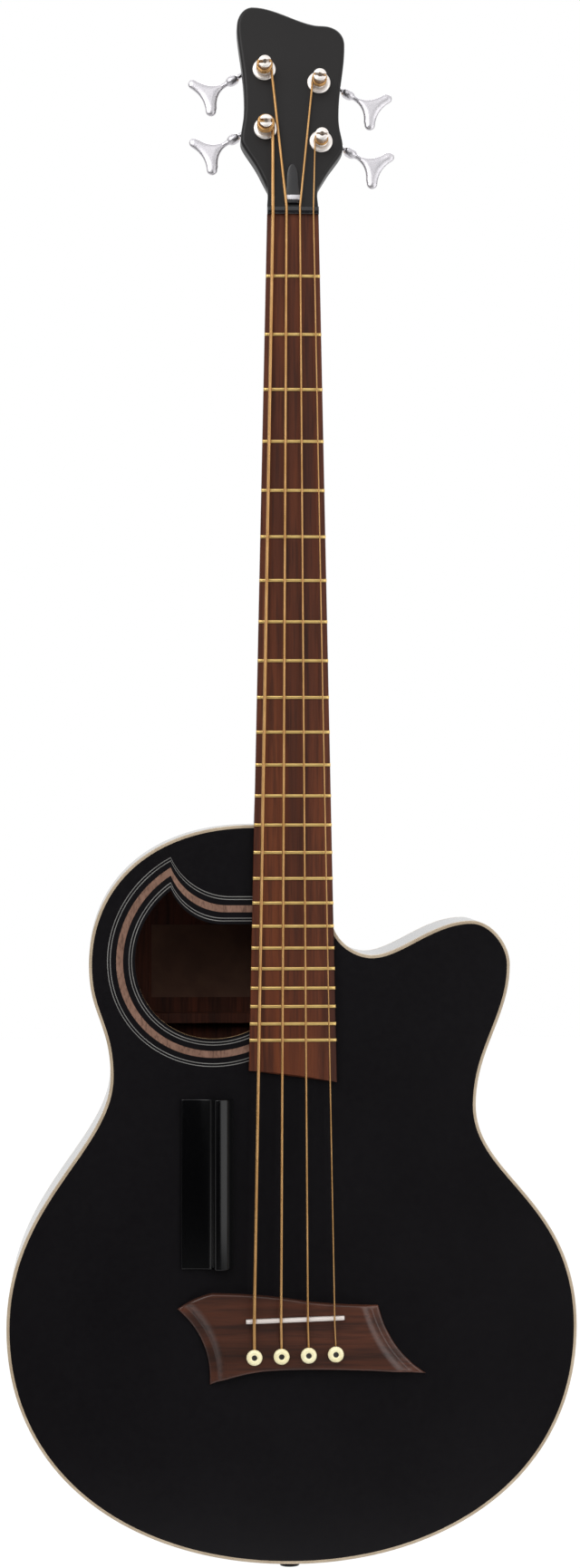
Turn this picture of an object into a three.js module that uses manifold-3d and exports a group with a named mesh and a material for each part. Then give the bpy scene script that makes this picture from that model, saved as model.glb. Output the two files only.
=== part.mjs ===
// Acoustic bass guitar with four strings, one cutaway and open-gear tuners.
// Millimetres. The finished group stands upright: +Z runs up the neck and the soundboard faces -Y.
// The pieces are drawn in the instrument's own frame: x to the treble side, y from the nut towards
// the headstock, z out of the soundboard, with y = 0 where the strings leave the nut.
import * as THREE from 'three';
import { mergeVertices } from 'three/addons/utils/BufferGeometryUtils.js';
import Module from 'manifold-3d';

const wasm = await Module();
wasm.setup();

// Steps of curves, by how wide they sweep, and sides of round pieces, by size
const curveSteps = { bout: 11, hole: 13, flank: 9, shoulder: 8, tight: 5, bridge: 4, corner: 3 };
const roundSides = { wide: 28, smooth: 14, plain: 12, small: 10, tiny: 8 };

// Fits shared by all pieces
const seatGap = 0.3;
const cutOverrun = 5;
const glueSeam = 0.3;

// Scale and frets
const scaleLength = 863.6;
const fretCount = 24;
const jointFret = 14;
const fretsPerOctave = 12;
const octaveRatio = 2;
const fretWidth = 2.6;
const fretCrownWidth = 1.2;
const fretHeight = 1.1;

// Body shell
const bodyLength = 581;
const lowerBoutWidth = 449;
const upperBoutReach = 160;
const bassWaistReach = 143;
const hornReach = 171.5;
const hornTopReach = 141;
const trebleWaistReach = 144.5;
const cutawayReach = 62.5;
const heelCornerRadius = 13;
const depthAtTail = 98;
const depthAtNeck = 86;
const soundboardThickness = 3.2;
const backThickness = 3.2;
const sideThickness = 2.6;
const bindingWidth = 2.4;
const bindingHeight = 5;
const liningWidth = 6;
const liningHeight = 15;
const neckBlockLength = 62;
const tailBlockLength = 26;
const tailBlockWidth = 76;
const neckBlockReach = 40;

// Soundhole and rosette
const holeLongRadius = 68.9;
const holeShortRadius = 63.7;
const holeTilt = 42;
const holeCentreReach = 57.2;
const holeCentreDrop = 102;
const holeApexReach = 95.8;
const holeScoopReach = 55.5;
const holeScoopDriftShare = 0.31;
const holeUpperEdgeDrop = 78;
const holeUnderBoard = 2.5;
const rosetteInset = 1.8;
const rosetteWidth = 20.2;
const rosetteDepth = 1.6;

// Braces
const xBraceAngle = 40;
const xBraceWidth = 7;
const xBraceHeight = 13;
const xBraceAboveSaddle = 76;
const xBraceLowerLength = 230;
const braceEndHeight = 4;
const braceTaperLength = 42;
const waistBraceWidth = 8;
const waistBraceHeight = 14;
const waistBraceBelowRosette = 24;
const backBraceWidth = 8;
const backBraceHeight = 13;
const upperBackBraceDrop = 156;
const lowerBackBraceDrop = 400;
const bridgePlateThickness = 3;
const bridgePlateLength = 44;

// Neck and fingerboard
const boardWidthAtNut = 40.4;
const boardWidthPerLength = 0.0425;
const boardEdgeThickness = 4.8;
const boardCamber = 1.3;
const boardOverLastFret = 24;
const boardEndSlant = 9.2;
const neckDepthAtNut = 15.5;
const neckDepthAtHeel = 19;
const heelDepth = 62;
const heelLength = 66;
const nutLength = 6;
const nutHeight = 8.6;
const nutBackHeight = 7.4;
const rodWidth = 6;
const rodDepth = 8;
const rodBelowBoard = 2.4;
const rodEndMargin = 24;
const rodNutLength = 8;
const rodNutRadius = 3.6;
const rodPocketWidth = 8.6;
const rodPocketLength = 26;
const coverWidth = 12.6;
const coverWaistWidth = 9.6;
const coverLength = 33;
const coverThickness = 2;

// Headstock
const headTilt = 12;
const headThickness = 16;
const headLength = 169;
const headEdgeRound = 3;
const neckSectionSteps = 8;
const headLobeReach = 40.4;
const headWaistReach = 37.3;
const headShoulderReach = 42.7;
const headPeakReach = 30.2;

// Bridge
const bridgeHeight = 8.5;
const bridgeSpan = 196;
const bridgeCentreX = 1.5;
const bridgeScallopWidth = 9.5;
const bridgeWingHeight = 3.2;
const bridgeEdgeRound = 1;
const saddleLength = 77;
const saddleThickness = 3.4;
const saddleDepthInBridge = 5;
const saddleSlant = 2.6;
const saddleCompensation = 3;
const pinBehindSaddle = 28.4;
const pinHeadRadius = 6.25;
const pinHeadHeight = 3.4;
const pinShaftRadius = 4.5;
const pinTipRadius = 3.7;
const pinLength = 17.5;
const pinHoleClearance = 0.4;
const pinDimpleRadius = 2;
const pinCrownShare = 0.75;
const pinSpacing = 21.3;

// Strings
const nutSpacing = 10.6;
const saddleSpacing = 21;
const stringLift = 7.9;
const actionAtSaddle = 12.4;
const ballRadius = 3.1;
const ballDrop = 4.6;
const stringSides = 8;
const windingSides = 6;
const windingStepsPerTurn = 18;

// Thumb rest, end pin and strap button
const thumbRestWidth = 41;
const thumbRestReach = 87.5;
const thumbRestHeight = 13;
const thumbRestLowHeight = 3;
const buttonRadius = 8;
const buttonNeckRadius = 4.2;
const buttonHeight = 10.5;
const endPinStemRadius = 4.2;
const endPinStemLength = 21;
const strapButtonHeelOffset = 13;

// Tuners
const keyAngle = 31.5;
const gearTeeth = 20;
const gearModule = 0.9;
const gearThickness = 5;
const wormPitchRadius = 3.6;
const wormTurns = 3;
const wormStepsPerTurn = 10;
const toothHeightShare = 0.8;
const toothRootShare = 1.15;
const toothThicknessShare = 0.4;
const pressureAngle = 20;
const keyShaftRadius = 2.2;
const plateThickness = 1.6;
const lugThickness = 2;
const lugGap = 1.8;
const lugRim = 1.8;
const plateLength = 23;
const plateRim = 10;
const bushingRadius = 6.5;
const bushingFlangeRadius = 9.25;
const bushingFlangeHeight = 2;
const bushingLength = 10;
const postRadius = 4.7;
const postWaistRadius = 4;
const postTopRadius = 5.2;
const postHeight = 17.5;
const postStubRadius = 3;
const postHoleRadius = 1.9;
const postSlotDepth = 5.5;
const windingStart = 4.1;
const leadClearanceShare = 1.35;
const collarRadius = 4;
const collarStart = 16;
const collarEnd = 26;
const keyNeckRadius = 2;
const keyNeckAt = 28;
const keyTipAt = 50;
const keyTipReach = 13.2;
const keyLobeRadius = 3.4;
const keyThickness = 4.4;
const keyEdgeRound = 1.4;
const keyFlareShare = 0.5;
const lobeLean = 25;

// Each tuner: name, side, place on the headstock, string diameter and turns on its post
const strings = [
  { name: 'e', side: -1, post: [20.9, 65.8], diameter: 2.67, turns: 2.5 },
  { name: 'a', side: -1, post: [21.5, 115.3], diameter: 2.16, turns: 2.5 },
  { name: 'd', side: 1, post: [21.8, 104.6], diameter: 1.65, turns: 2.5 },
  { name: 'g', side: 1, post: [22.9, 55.2], diameter: 1.14, turns: 2.5 },
];

// Colours
const finish = {
  black_satin: { color: 0x18171a, roughness: 0.42, metalness: 0 },
  black_gloss: { color: 0x100f12, roughness: 0.15, metalness: 0 },
  head_satin: { color: 0x343133, roughness: 0.45, metalness: 0 },
  cream: { color: 0xd9cda8, roughness: 0.4, metalness: 0 },
  rosette_wood: { color: 0x7a4a38, roughness: 0.5, metalness: 0 },
  red_brown_wood: { color: 0x6b4028, roughness: 0.6, metalness: 0 },
  spruce: { color: 0xc9a878, roughness: 0.7, metalness: 0 },
  board_wood: { color: 0x6a4130, roughness: 0.5, metalness: 0 },
  bridge_wood: { color: 0x3a2420, roughness: 0.5, metalness: 0 },
  bone: { color: 0xe8e2dc, roughness: 0.35, metalness: 0 },
  bronze: { color: 0xb08050, roughness: 0.35, metalness: 0.9 },
  chrome: { color: 0xd8d8dc, roughness: 0.12, metalness: 1 },
  brass: { color: 0xb89a5a, roughness: 0.3, metalness: 1 },
  steel: { color: 0x8c8c90, roughness: 0.35, metalness: 1 },
  black_plastic: { color: 0x141316, roughness: 0.3, metalness: 0 },
};

const radians = THREE.MathUtils.degToRad;
const lerp = THREE.MathUtils.lerp;

// Solids: conversion to and from the boolean library, and the cuts themselves
function toSolid(geometry) {
  const bare = geometry.clone();
  bare.deleteAttribute('normal');
  bare.deleteAttribute('uv');
  const merged = mergeVertices(bare);
  const vertProperties = Float32Array.from(merged.attributes.position.array);
  const triVerts = Uint32Array.from(merged.index.array);
  return new wasm.Manifold(new wasm.Mesh({ numProp: 3, vertProperties, triVerts }));
}

function toGeometry(solid) {
  const mesh = solid.getMesh();
  const geometry = new THREE.BufferGeometry();
  geometry.setAttribute('position', new THREE.Float32BufferAttribute(mesh.vertProperties, 3));
  geometry.setIndex(Array.from(mesh.triVerts));
  return geometry;
}

function cut(geometry, ...tools) {
  return toGeometry(tools.reduce((solid, tool) => solid.subtract(toSolid(tool)), toSolid(geometry)));
}

function join(geometry, ...others) {
  return toGeometry(others.reduce((solid, other) => solid.add(toSolid(other)), toSolid(geometry)));
}

function common(geometry, tool) {
  return toGeometry(toSolid(geometry).intersect(toSolid(tool)));
}

// A box from its lowest to its highest corner
function boxBetween(low, high) {
  const box = new THREE.BoxGeometry(high[0] - low[0], high[1] - low[1], high[2] - low[2]);
  return box.translate((low[0] + high[0]) / 2, (low[1] + high[1]) / 2, (low[2] + high[2]) / 2);
}

// An upright cylinder between two heights
function rod(x, y, low, high, radius, sides) {
  const cylinder = new THREE.CylinderGeometry(radius, radius, high - low, sides);
  return cylinder.rotateX(radians(90)).translate(x, y, (low + high) / 2);
}

// A revolve about z of a profile of [radius, height] pairs
function turned(profile, sides) {
  const points = profile.map(([radius, height]) => new THREE.Vector2(radius, height));
  return new THREE.LatheGeometry(points, sides).rotateX(radians(90));
}

// A prism between two heights, over loops of Vector2
function prism(loop, low, high) {
  const shape = new THREE.Shape(loop);
  const geometry = new THREE.ExtrudeGeometry(shape, { depth: high - low, bevelEnabled: false });
  return geometry.translate(0, 0, low);
}

// A prism whose lower and upper faces follow two functions of y
function prismBetween(loop, lower, upper) {
  const geometry = prism(loop, 0, 1);
  const position = geometry.attributes.position;
  for (let i = 0; i < position.count; i += 1) {
    const y = position.getY(i);
    position.setZ(i, lerp(lower(y), upper(y), position.getZ(i)));
  }
  return geometry;
}

// A ring between two loops, whose lower and upper faces follow two functions of y
function ringBetween(outer, inner, lower, upper) {
  const bore = prismBetween(inner, (y) => lower(y) - cutOverrun, (y) => upper(y) + cutOverrun);
  return cut(prismBetween(outer, lower, upper), bore);
}

// A closed skin over rings of Vector3 that all have the same number of points
function loft(rings) {
  const count = rings[0].length;
  const position = rings.flatMap((ring) => ring.flatMap((point) => point.toArray()));
  const index = [];
  for (let i = 0; i + 1 < rings.length; i += 1) {
    for (let j = 0; j < count; j += 1) {
      const a = i * count + j;
      const b = i * count + ((j + 1) % count);
      index.push(a, b, b + count, a, b + count, a + count);
    }
  }
  const last = (rings.length - 1) * count;
  for (let j = 1; j + 1 < count; j += 1) {
    index.push(0, j + 1, j, last, last + j, last + j + 1);
  }
  const geometry = new THREE.BufferGeometry();
  geometry.setAttribute('position', new THREE.Float32BufferAttribute(position, 3));
  geometry.setIndex(index);
  return facingOut(geometry);
}

// The same geometry with its faces turned out, whichever way its rings ran
function facingOut(geometry) {
  const position = geometry.attributes.position;
  const index = geometry.index.array;
  const corner = [new THREE.Vector3(), new THREE.Vector3(), new THREE.Vector3()];
  let volume = 0;
  for (let i = 0; i < index.length; i += 3) {
    corner.forEach((vertex, k) => vertex.fromBufferAttribute(position, index[i + k]));
    volume += corner[0].dot(corner[1].clone().cross(corner[2]));
  }
  if (volume < 0) {
    for (let i = 0; i < index.length; i += 3) {
      [index[i], index[i + 1]] = [index[i + 1], index[i]];
    }
  }
  return geometry;
}

// A round tube with mitred bends along a list of points
function tubeAlong(points, radius, sides) {
  const tangents = points.map((point, i) => {
    const before = points[Math.max(i - 1, 0)];
    const after = points[Math.min(i + 1, points.length - 1)];
    return after.clone().sub(before).normalize();
  });
  const normal = new THREE.Vector3(1, 0, 0);
  const rings = points.map((point, i) => {
    const tangent = tangents[i];
    normal.addScaledVector(tangent, -normal.dot(tangent)).normalize();
    const across = tangent.clone().cross(normal);
    return Array.from({ length: sides }, (_, j) => {
      const angle = (2 * Math.PI * j) / sides;
      const offset = normal.clone().multiplyScalar(radius * Math.cos(angle));
      return offset.addScaledVector(across, radius * Math.sin(angle)).add(point);
    });
  });
  return loft(rings);
}

// Curves between two points that leave and arrive along x or y, by shares of the span
function bend(from, to, [startAxis, endAxis], [startShare, endShare]) {
  const [dx, dy] = [to[0] - from[0], to[1] - from[1]];
  const handle = (axis, share) => (axis === 'x' ? [dx * share, 0] : [0, dy * share]);
  const start = handle(startAxis, startShare);
  const end = handle(endAxis, endShare);
  return new THREE.CubicBezierCurve(
    new THREE.Vector2(...from),
    new THREE.Vector2(from[0] + start[0], from[1] + start[1]),
    new THREE.Vector2(to[0] - end[0], to[1] - end[1]),
    new THREE.Vector2(...to),
  );
}

// Points along a chain of [curve, steps], each shared end taken once
function chain(curves) {
  const points = curves.flatMap(([curve, steps]) => curve.getPoints(steps).slice(1));
  return [curves[0][0].getPoint(0), ...points];
}

function straight(from, to) {
  return new THREE.LineCurve(new THREE.Vector2(...from), new THREE.Vector2(...to));
}

// A closed loop drawn in by a distance, or let out by a negative one
function inset(loop, distance) {
  const turn = THREE.ShapeUtils.area(loop) > 0 ? 1 : -1;
  return loop.map((point, i) => {
    const before = loop[(i + loop.length - 1) % loop.length];
    const after = loop[(i + 1) % loop.length];
    const edgeIn = point.clone().sub(before).normalize();
    const edgeOut = after.clone().sub(point).normalize();
    const side = new THREE.Vector2(-edgeIn.y - edgeOut.y, edgeIn.x + edgeOut.x).normalize();
    const reach = distance / Math.sqrt((1 + edgeIn.dot(edgeOut)) / 2);
    return point.clone().addScaledVector(side, turn * reach);
  });
}

// Positions along the scale
const fretY = (n) => -scaleLength * (1 - octaveRatio ** (-n / fretsPerOctave));
const boardHalfWidth = (y) => (boardWidthAtNut - boardWidthPerLength * y) / 2;
const bodyTopY = fretY(jointFret);
const tailY = bodyTopY - bodyLength;
const boardEndY = fretY(fretCount) - boardOverLastFret;
const saddleY = -scaleLength - saddleCompensation;
const depthAt = (y) => lerp(depthAtTail, depthAtNeck, (y - tailY) / bodyLength);
const backFace = (y) => -depthAt(y);
const backInside = (y) => backFace(y) + backThickness;
const backSeat = (y) => backInside(y) + seatGap / 2;
const down = (share) => bodyTopY - share * bodyLength;

// Body outline, from the tail seam round the bass side to the neck, and back down the treble side
const upperBoutShare = 0.1895;
const bassWaistShare = 0.34;
const trebleWaistShare = 0.38;
const lowerBoutShare = 0.68;
const hornTopShare = 0.13;
const cutawayShare = 0.1765;
const cutawayStartShare = 0.122;
const bodyHandleShares = {
  tail: [0.544, 0.64],
  bassFlank: [0.505, 0.287],
  bassWaist: [0.478, 0.445],
  bassShoulder: [0.57, 0.635],
  heelCorner: [0.55, 0.55],
  cutawayDrop: [0.6, 0.44],
  cutawayRise: [0.284, 0.395],
  hornTop: [0.535, 0.45],
  hornSide: [0.37, 0.4],
  trebleFlank: [0.326, 0.575],
};

function bodyOutline() {
  const shares = bodyHandleShares;
  const corner = heelCornerRadius;
  const heelReach = boardHalfWidth(bodyTopY);
  const tail = [0, tailY];
  const heel = [-heelReach, bodyTopY];
  const middle = [0, bodyTopY];
  const bassBout = [-lowerBoutWidth / 2, down(lowerBoutShare)];
  const bassWaist = [-bassWaistReach, down(bassWaistShare)];
  const shoulder = [-upperBoutReach, down(upperBoutShare)];
  const cornerStart = [heelReach - corner, bodyTopY];
  const cornerEnd = [heelReach, bodyTopY - corner];
  const cutawayStart = [heelReach, down(cutawayStartShare)];
  const cutaway = [cutawayReach, down(cutawayShare)];
  const hornTop = [hornTopReach, down(hornTopShare)];
  const horn = [hornReach, down(upperBoutShare)];
  const trebleWaist = [trebleWaistReach, down(trebleWaistShare)];
  const trebleBout = [lowerBoutWidth / 2, down(lowerBoutShare)];
  const bass = chain([
    [bend(tail, bassBout, 'xy', shares.tail), curveSteps.bout],
    [bend(bassBout, bassWaist, 'yy', shares.bassFlank), curveSteps.flank],
    [bend(bassWaist, shoulder, 'yy', shares.bassWaist), curveSteps.tight],
    [bend(shoulder, heel, 'yx', shares.bassShoulder), curveSteps.shoulder],
    [straight(heel, middle), 1],
  ]);
  const treble = chain([
    [straight(middle, cornerStart), 1],
    [bend(cornerStart, cornerEnd, 'xy', shares.heelCorner), curveSteps.corner],
    [straight(cornerEnd, cutawayStart), 1],
    [bend(cutawayStart, cutaway, 'yx', shares.cutawayDrop), curveSteps.tight],
    [bend(cutaway, hornTop, 'xx', shares.cutawayRise), curveSteps.tight],
    [bend(hornTop, horn, 'xy', shares.hornTop), curveSteps.tight],
    [bend(horn, trebleWaist, 'yy', shares.hornSide), curveSteps.tight],
    [bend(trebleWaist, trebleBout, 'yy', shares.trebleFlank), curveSteps.flank],
    [bend(trebleBout, tail, 'yx', shares.tail.toReversed()), curveSteps.bout],
  ]);
  return { loop: [...bass, ...treble.slice(1, -1)], neckIndex: bass.length - 1 };
}

const body = bodyOutline();
const bodyLoop = (distance) => inset(body.loop, distance);
const liningInset = sideThickness + seatGap;
const cavityInset = liningInset + liningWidth;
const plateInset = bindingWidth + seatGap;

// Soundhole outline, let out by a distance: a tilted ellipse with a scooped upper edge and an end
// under the board. Both curves meet in an apex that keeps its place across the board.
const holeCentre = new THREE.Vector2(-holeCentreReach, bodyTopY - holeCentreDrop);

function holeEllipse(grow) {
  const tilt = radians(holeTilt);
  const [long, short] = [holeLongRadius + grow, holeShortRadius + grow];
  const point = (angle) => new THREE.Vector2(long * Math.cos(angle), short * Math.sin(angle))
    .rotateAround(new THREE.Vector2(), tilt)
    .add(holeCentre);
  const reach = Math.hypot(long * Math.cos(tilt), short * Math.sin(tilt));
  const drop = Math.hypot(long * Math.sin(tilt), short * Math.cos(tilt));
  const phase = Math.atan2(short * Math.sin(tilt), long * Math.cos(tilt));
  const turnAt = (x) => Math.acos((x - holeCentre.x) / reach);
  const upperAt = (x) => turnAt(x) - phase;
  const lowerAt = (x) => 2 * Math.PI - turnAt(x) - phase;
  return { point, drop, upperAt, lowerAt };
}

function holePath(grow) {
  const ellipse = holeEllipse(grow);
  const upperEdge = bodyTopY - holeUpperEdgeDrop + grow;
  const endX = -boardHalfWidth(bodyTopY - holeUpperEdgeDrop) + holeUnderBoard;
  const apex = ellipse.point(ellipse.upperAt(-holeApexReach));
  const scoopX = -holeScoopReach + holeScoopDriftShare * grow;
  const [dx, dy] = [apex.x - scoopX, apex.y - upperEdge];
  const scoopRadius = (dx ** 2 + dy ** 2) / (2 * dy);
  const scoopTurn = Math.asin(-dx / scoopRadius);
  const between = (from, to, steps, pointAt) => Array.from(
    { length: steps + 1 },
    (_, i) => pointAt(lerp(from, to, i / steps)),
  );
  const onScoop = (angle) => new THREE.Vector2(
    scoopX - scoopRadius * Math.sin(angle),
    upperEdge + scoopRadius * (1 - Math.cos(angle)),
  );
  const roundFrom = ellipse.upperAt(-holeApexReach);
  return [
    new THREE.Vector2(endX, upperEdge),
    ...between(0, scoopTurn, curveSteps.tight, onScoop),
    ...between(roundFrom, ellipse.lowerAt(endX), curveSteps.hole, ellipse.point).slice(1),
  ];
}

const rosetteBottomY = holeCentre.y - holeEllipse(rosetteInset + rosetteWidth).drop;

function rosetteBand(clearance) {
  const inner = holePath(rosetteInset - clearance);
  const outer = holePath(rosetteInset + rosetteWidth + clearance);
  return [...outer, ...inner.reverse()];
}

// Strings: places at the nut, the saddle and the pins
const rank = (i) => i - (strings.length - 1) / 2;
const nutX = (i) => rank(i) * nutSpacing;
const saddleX = (i) => rank(i) * saddleSpacing + bridgeCentreX / 2;
const pinX = (i) => rank(i) * pinSpacing + bridgeCentreX;
const slantAt = (x) => saddleSlant * ((x - bridgeCentreX) / saddleLength);
const pinY = (i) => saddleY - pinBehindSaddle + slantAt(pinX(i));
const pinHoleRadius = pinShaftRadius + pinHoleClearance;
const stringInHole = (i) => pinHoleRadius - seatGap - strings[i].diameter / 2;

// Headstock frame: u across, v up from the back of the nut, w out of its face
const headMatrix = new THREE.Matrix4().makeRotationX(-radians(headTilt)).setPosition(0, nutLength, 0);
const onHead = (u, v, w) => new THREE.Vector3(u, v, w).applyMatrix4(headMatrix);
const postX = (i) => strings[i].side * strings[i].post[0];
const postV = (i) => strings[i].post[1];

// Winding sizes on each post
const windingRadius = (i) => postWaistRadius + seatGap + strings[i].diameter / 2;
const windingPitch = (i) => {
  const { diameter } = strings[i];
  return Math.max(leadClearanceShare * diameter, diameter + 2 * seatGap);
};
const windingLowW = (i) => windingStart + strings[i].diameter / 2;

// Where the straight string touches its post, as an angle about the post
function touchAngle(i) {
  const nutBack = new THREE.Vector3(nutX(i), nutLength, stringLift).applyMatrix4(headMatrix.clone().invert());
  const toNut = new THREE.Vector2(nutBack.x - postX(i), nutBack.y - postV(i));
  const opening = Math.acos(windingRadius(i) / toNut.length());
  return toNut.angle() - strings[i].side * opening;
}

function touchPoint(i) {
  const angle = touchAngle(i);
  const radius = windingRadius(i);
  return [postX(i) + radius * Math.cos(angle), postV(i) + radius * Math.sin(angle)];
}

// A string's route from its ball end, up its hole, over saddle and nut, to its post
function stringRoute(i) {
  const r = strings[i].diameter / 2;
  const holeY = pinY(i) + stringInHole(i);
  const under = -soundboardThickness - bridgePlateThickness;
  const saddleZ = actionAtSaddle + r;
  const nutZ = stringLift + r;
  const [touchU, touchV] = touchPoint(i);
  const touch = onHead(touchU, touchV, windingLowW(i));
  const nutBack = new THREE.Vector3(nutX(i), nutLength, nutZ - seatGap);
  const end = touch.clone().addScaledVector(nutBack.clone().sub(touch).normalize(), 2 * seatGap);
  return [
    new THREE.Vector3(pinX(i), holeY, under - ballDrop / 2),
    new THREE.Vector3(pinX(i), holeY, under + ballDrop / 2),
    new THREE.Vector3(pinX(i), holeY, bridgeHeight / 3),
    new THREE.Vector3(pinX(i), holeY + r, bridgeHeight / 2),
    new THREE.Vector3(saddleX(i), saddleY + slantAt(saddleX(i)) - saddleThickness / 2, saddleZ - seatGap),
    new THREE.Vector3(saddleX(i), saddleY + slantAt(saddleX(i)) + saddleThickness / 2, saddleZ),
    new THREE.Vector3(nutX(i), 0, nutZ),
    nutBack,
    end,
  ];
}

// Materials and the list of meshes
const materials = Object.fromEntries(
  Object.entries(finish).map(([name, look]) => [name, new THREE.MeshStandardMaterial({ name, ...look })]),
);
const instrument = new THREE.Group();

function place(name, geometry, material, parent = instrument) {
  const mesh = new THREE.Mesh(geometry, materials[material]);
  mesh.name = name;
  parent.add(mesh);
  return mesh;
}

// Soundboard, with its soundhole, its rosette channel and the four pin holes
const pinHoles = (low, high) => strings.map(
  (_, i) => rod(pinX(i), pinY(i), low, high, pinHoleRadius, roundSides.plain),
);

function soundboard() {
  const plate = prism(bodyLoop(plateInset), -soundboardThickness, 0);
  const hole = prism(holePath(0), -soundboardThickness - cutOverrun, cutOverrun);
  const channel = prism(rosetteBand(seatGap), -rosetteDepth, cutOverrun);
  return cut(plate, hole, channel, ...pinHoles(-soundboardThickness - cutOverrun, cutOverrun));
}

function rosette() {
  return prism(rosetteBand(0), -rosetteDepth, 0);
}

function backPlate() {
  return prismBetween(bodyLoop(plateInset), backFace, backInside);
}

// Bindings and linings run round the shell at the front and at the back
function topBinding() {
  return ringBetween(body.loop, bodyLoop(bindingWidth), () => -bindingHeight, () => 0);
}

function backBinding() {
  return ringBetween(body.loop, bodyLoop(bindingWidth), backFace, (y) => backFace(y) + bindingHeight);
}

const neckBlockBox = (margin) => boxBetween(
  [-neckBlockReach - margin, bodyTopY - neckBlockLength - margin, -depthAtTail - cutOverrun],
  [neckBlockReach + margin, bodyTopY + cutOverrun, cutOverrun],
);
const tailBlockBox = (margin) => boxBetween(
  [-tailBlockWidth / 2 - margin, tailY - cutOverrun, -depthAtTail - cutOverrun],
  [tailBlockWidth / 2 + margin, tailY + tailBlockLength + margin, cutOverrun],
);

const topLiningLower = () => -soundboardThickness - liningHeight;
const backLiningUpper = (y) => backInside(y) + liningHeight;

function lining(lower, upper) {
  const ring = ringBetween(bodyLoop(liningInset), bodyLoop(cavityInset), lower, upper);
  return cut(ring, neckBlockBox(seatGap));
}

function endBlock(box) {
  const inside = prismBetween(bodyLoop(liningInset), backSeat, () => -soundboardThickness);
  return common(inside, box);
}

// The linings run on past the tail block, which is rebated round them
function tailBlock() {
  const space = (lower, upper) => ringBetween(body.loop, bodyLoop(cavityInset + seatGap), lower, upper);
  const topSpace = space((y) => topLiningLower(y) - seatGap, () => cutOverrun);
  const backSpace = space(() => -depthAtTail - cutOverrun, (y) => backLiningUpper(y) + seatGap);
  return cut(endBlock(tailBlockBox(0)), topSpace, backSpace, endPinHole());
}

// The two bent sides, split at the tail seam and behind the neck
const sideLower = (y) => backFace(y) + bindingHeight;
const sideUpper = () => -bindingHeight;

function side(indexes, seamX) {
  const outer = indexes.map((i) => body.loop[i].clone());
  const innerLoop = bodyLoop(sideThickness);
  const inner = indexes.map((i) => innerLoop[i].clone());
  const last = indexes.length - 1;
  [outer[0], outer[last], inner[0], inner[last]].forEach((point) => {
    point.x = seamX;
  });
  return cut(prismBetween([...outer, ...inner.reverse()], sideLower, sideUpper), endPinHole());
}

const indexRange = (from, to) => Array.from(
  { length: to - from + 1 },
  (_, i) => (from + i) % body.loop.length,
);
const endPinZ = -depthAtTail / 2;

function endPinHole() {
  const hole = new THREE.CylinderGeometry(
    endPinStemRadius + seatGap,
    endPinStemRadius + seatGap,
    2 * tailBlockLength + 2 * cutOverrun,
    roundSides.smooth,
  );
  return hole.translate(0, tailY, endPinZ);
}

// Braces: a bar with tapered ends, lying along x with its flat face at z = 0 and standing down
function brace(length, width, height) {
  const half = length / 2;
  const taper = Math.min(braceTaperLength, half / 2);
  const profile = [
    [-half, 0],
    [-half, -braceEndHeight],
    [-half + taper, -height],
    [half - taper, -height],
    [half, -braceEndHeight],
    [half, 0],
  ];
  const loop = profile.map(([x, z]) => new THREE.Vector2(x, z));
  return prism(loop, -width / 2, width / 2).rotateX(radians(90));
}

const cavity = () => prismBetween(bodyLoop(cavityInset + seatGap), backFace, () => cutOverrun);
const waistBraceY = rosetteBottomY - waistBraceBelowRosette;
const xCrossY = saddleY + xBraceAboveSaddle;

function waistBrace() {
  const bar = brace(bassWaistReach + trebleWaistReach, waistBraceWidth, waistBraceHeight);
  return common(bar.translate(0, waistBraceY, -soundboardThickness), cavity());
}

// One leg of the X: it runs from the waist brace, over the crossing, to the lower bout
function xLeg(sideSign) {
  const upper = (waistBraceY - waistBraceWidth / 2 - seatGap - xCrossY) / Math.cos(radians(xBraceAngle));
  const length = upper + xBraceLowerLength + xBraceWidth;
  const bar = brace(length, xBraceWidth, xBraceHeight);
  bar.translate((upper + xBraceWidth - xBraceLowerLength) / 2, 0, 0);
  bar.rotateZ(sideSign < 0 ? radians(90 + xBraceAngle) : radians(90 - xBraceAngle));
  return bar.translate(0, xCrossY, -soundboardThickness);
}

function xBrace(sideSign) {
  const halfHeight = soundboardThickness + xBraceHeight / 2;
  const [lapLow, lapHigh] = sideSign < 0
    ? [-depthAtTail, -halfHeight + seatGap / 2]
    : [-halfHeight - seatGap / 2, cutOverrun];
  const lap = new THREE.BoxGeometry(4 * xBraceWidth, xBraceWidth + 2 * seatGap, lapHigh - lapLow);
  lap.rotateZ(sideSign < 0 ? radians(90 - xBraceAngle) : radians(90 + xBraceAngle));
  lap.translate(0, xCrossY, (lapLow + lapHigh) / 2);
  const aboveWaist = boxBetween(
    [-lowerBoutWidth, waistBraceY - waistBraceWidth / 2 - seatGap, -depthAtTail],
    [lowerBoutWidth, waistBraceY + lowerBoutWidth, cutOverrun],
  );
  return cut(common(xLeg(sideSign), cavity()), lap, aboveWaist);
}

function bridgePlate() {
  const centreY = saddleY - pinBehindSaddle;
  const top = centreY + bridgePlateLength / 2;
  const clearOfLegs = (xCrossY - top) * Math.tan(radians(xBraceAngle));
  const half = clearOfLegs - xBraceWidth / Math.cos(radians(xBraceAngle));
  const upper = -soundboardThickness;
  const plate = boxBetween(
    [-half, top - bridgePlateLength, upper - bridgePlateThickness],
    [half, top, upper],
  );
  return cut(plate, ...pinHoles(upper - bridgePlateThickness - cutOverrun, cutOverrun));
}

function backBrace(drop) {
  const y = bodyTopY - drop;
  const bar = brace(lowerBoutWidth, backBraceWidth, backBraceHeight).rotateY(radians(180));
  const inside = prismBetween(bodyLoop(cavityInset + seatGap), backSeat, () => 0);
  return common(bar.translate(0, y, backInside(y)), inside);
}

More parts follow.
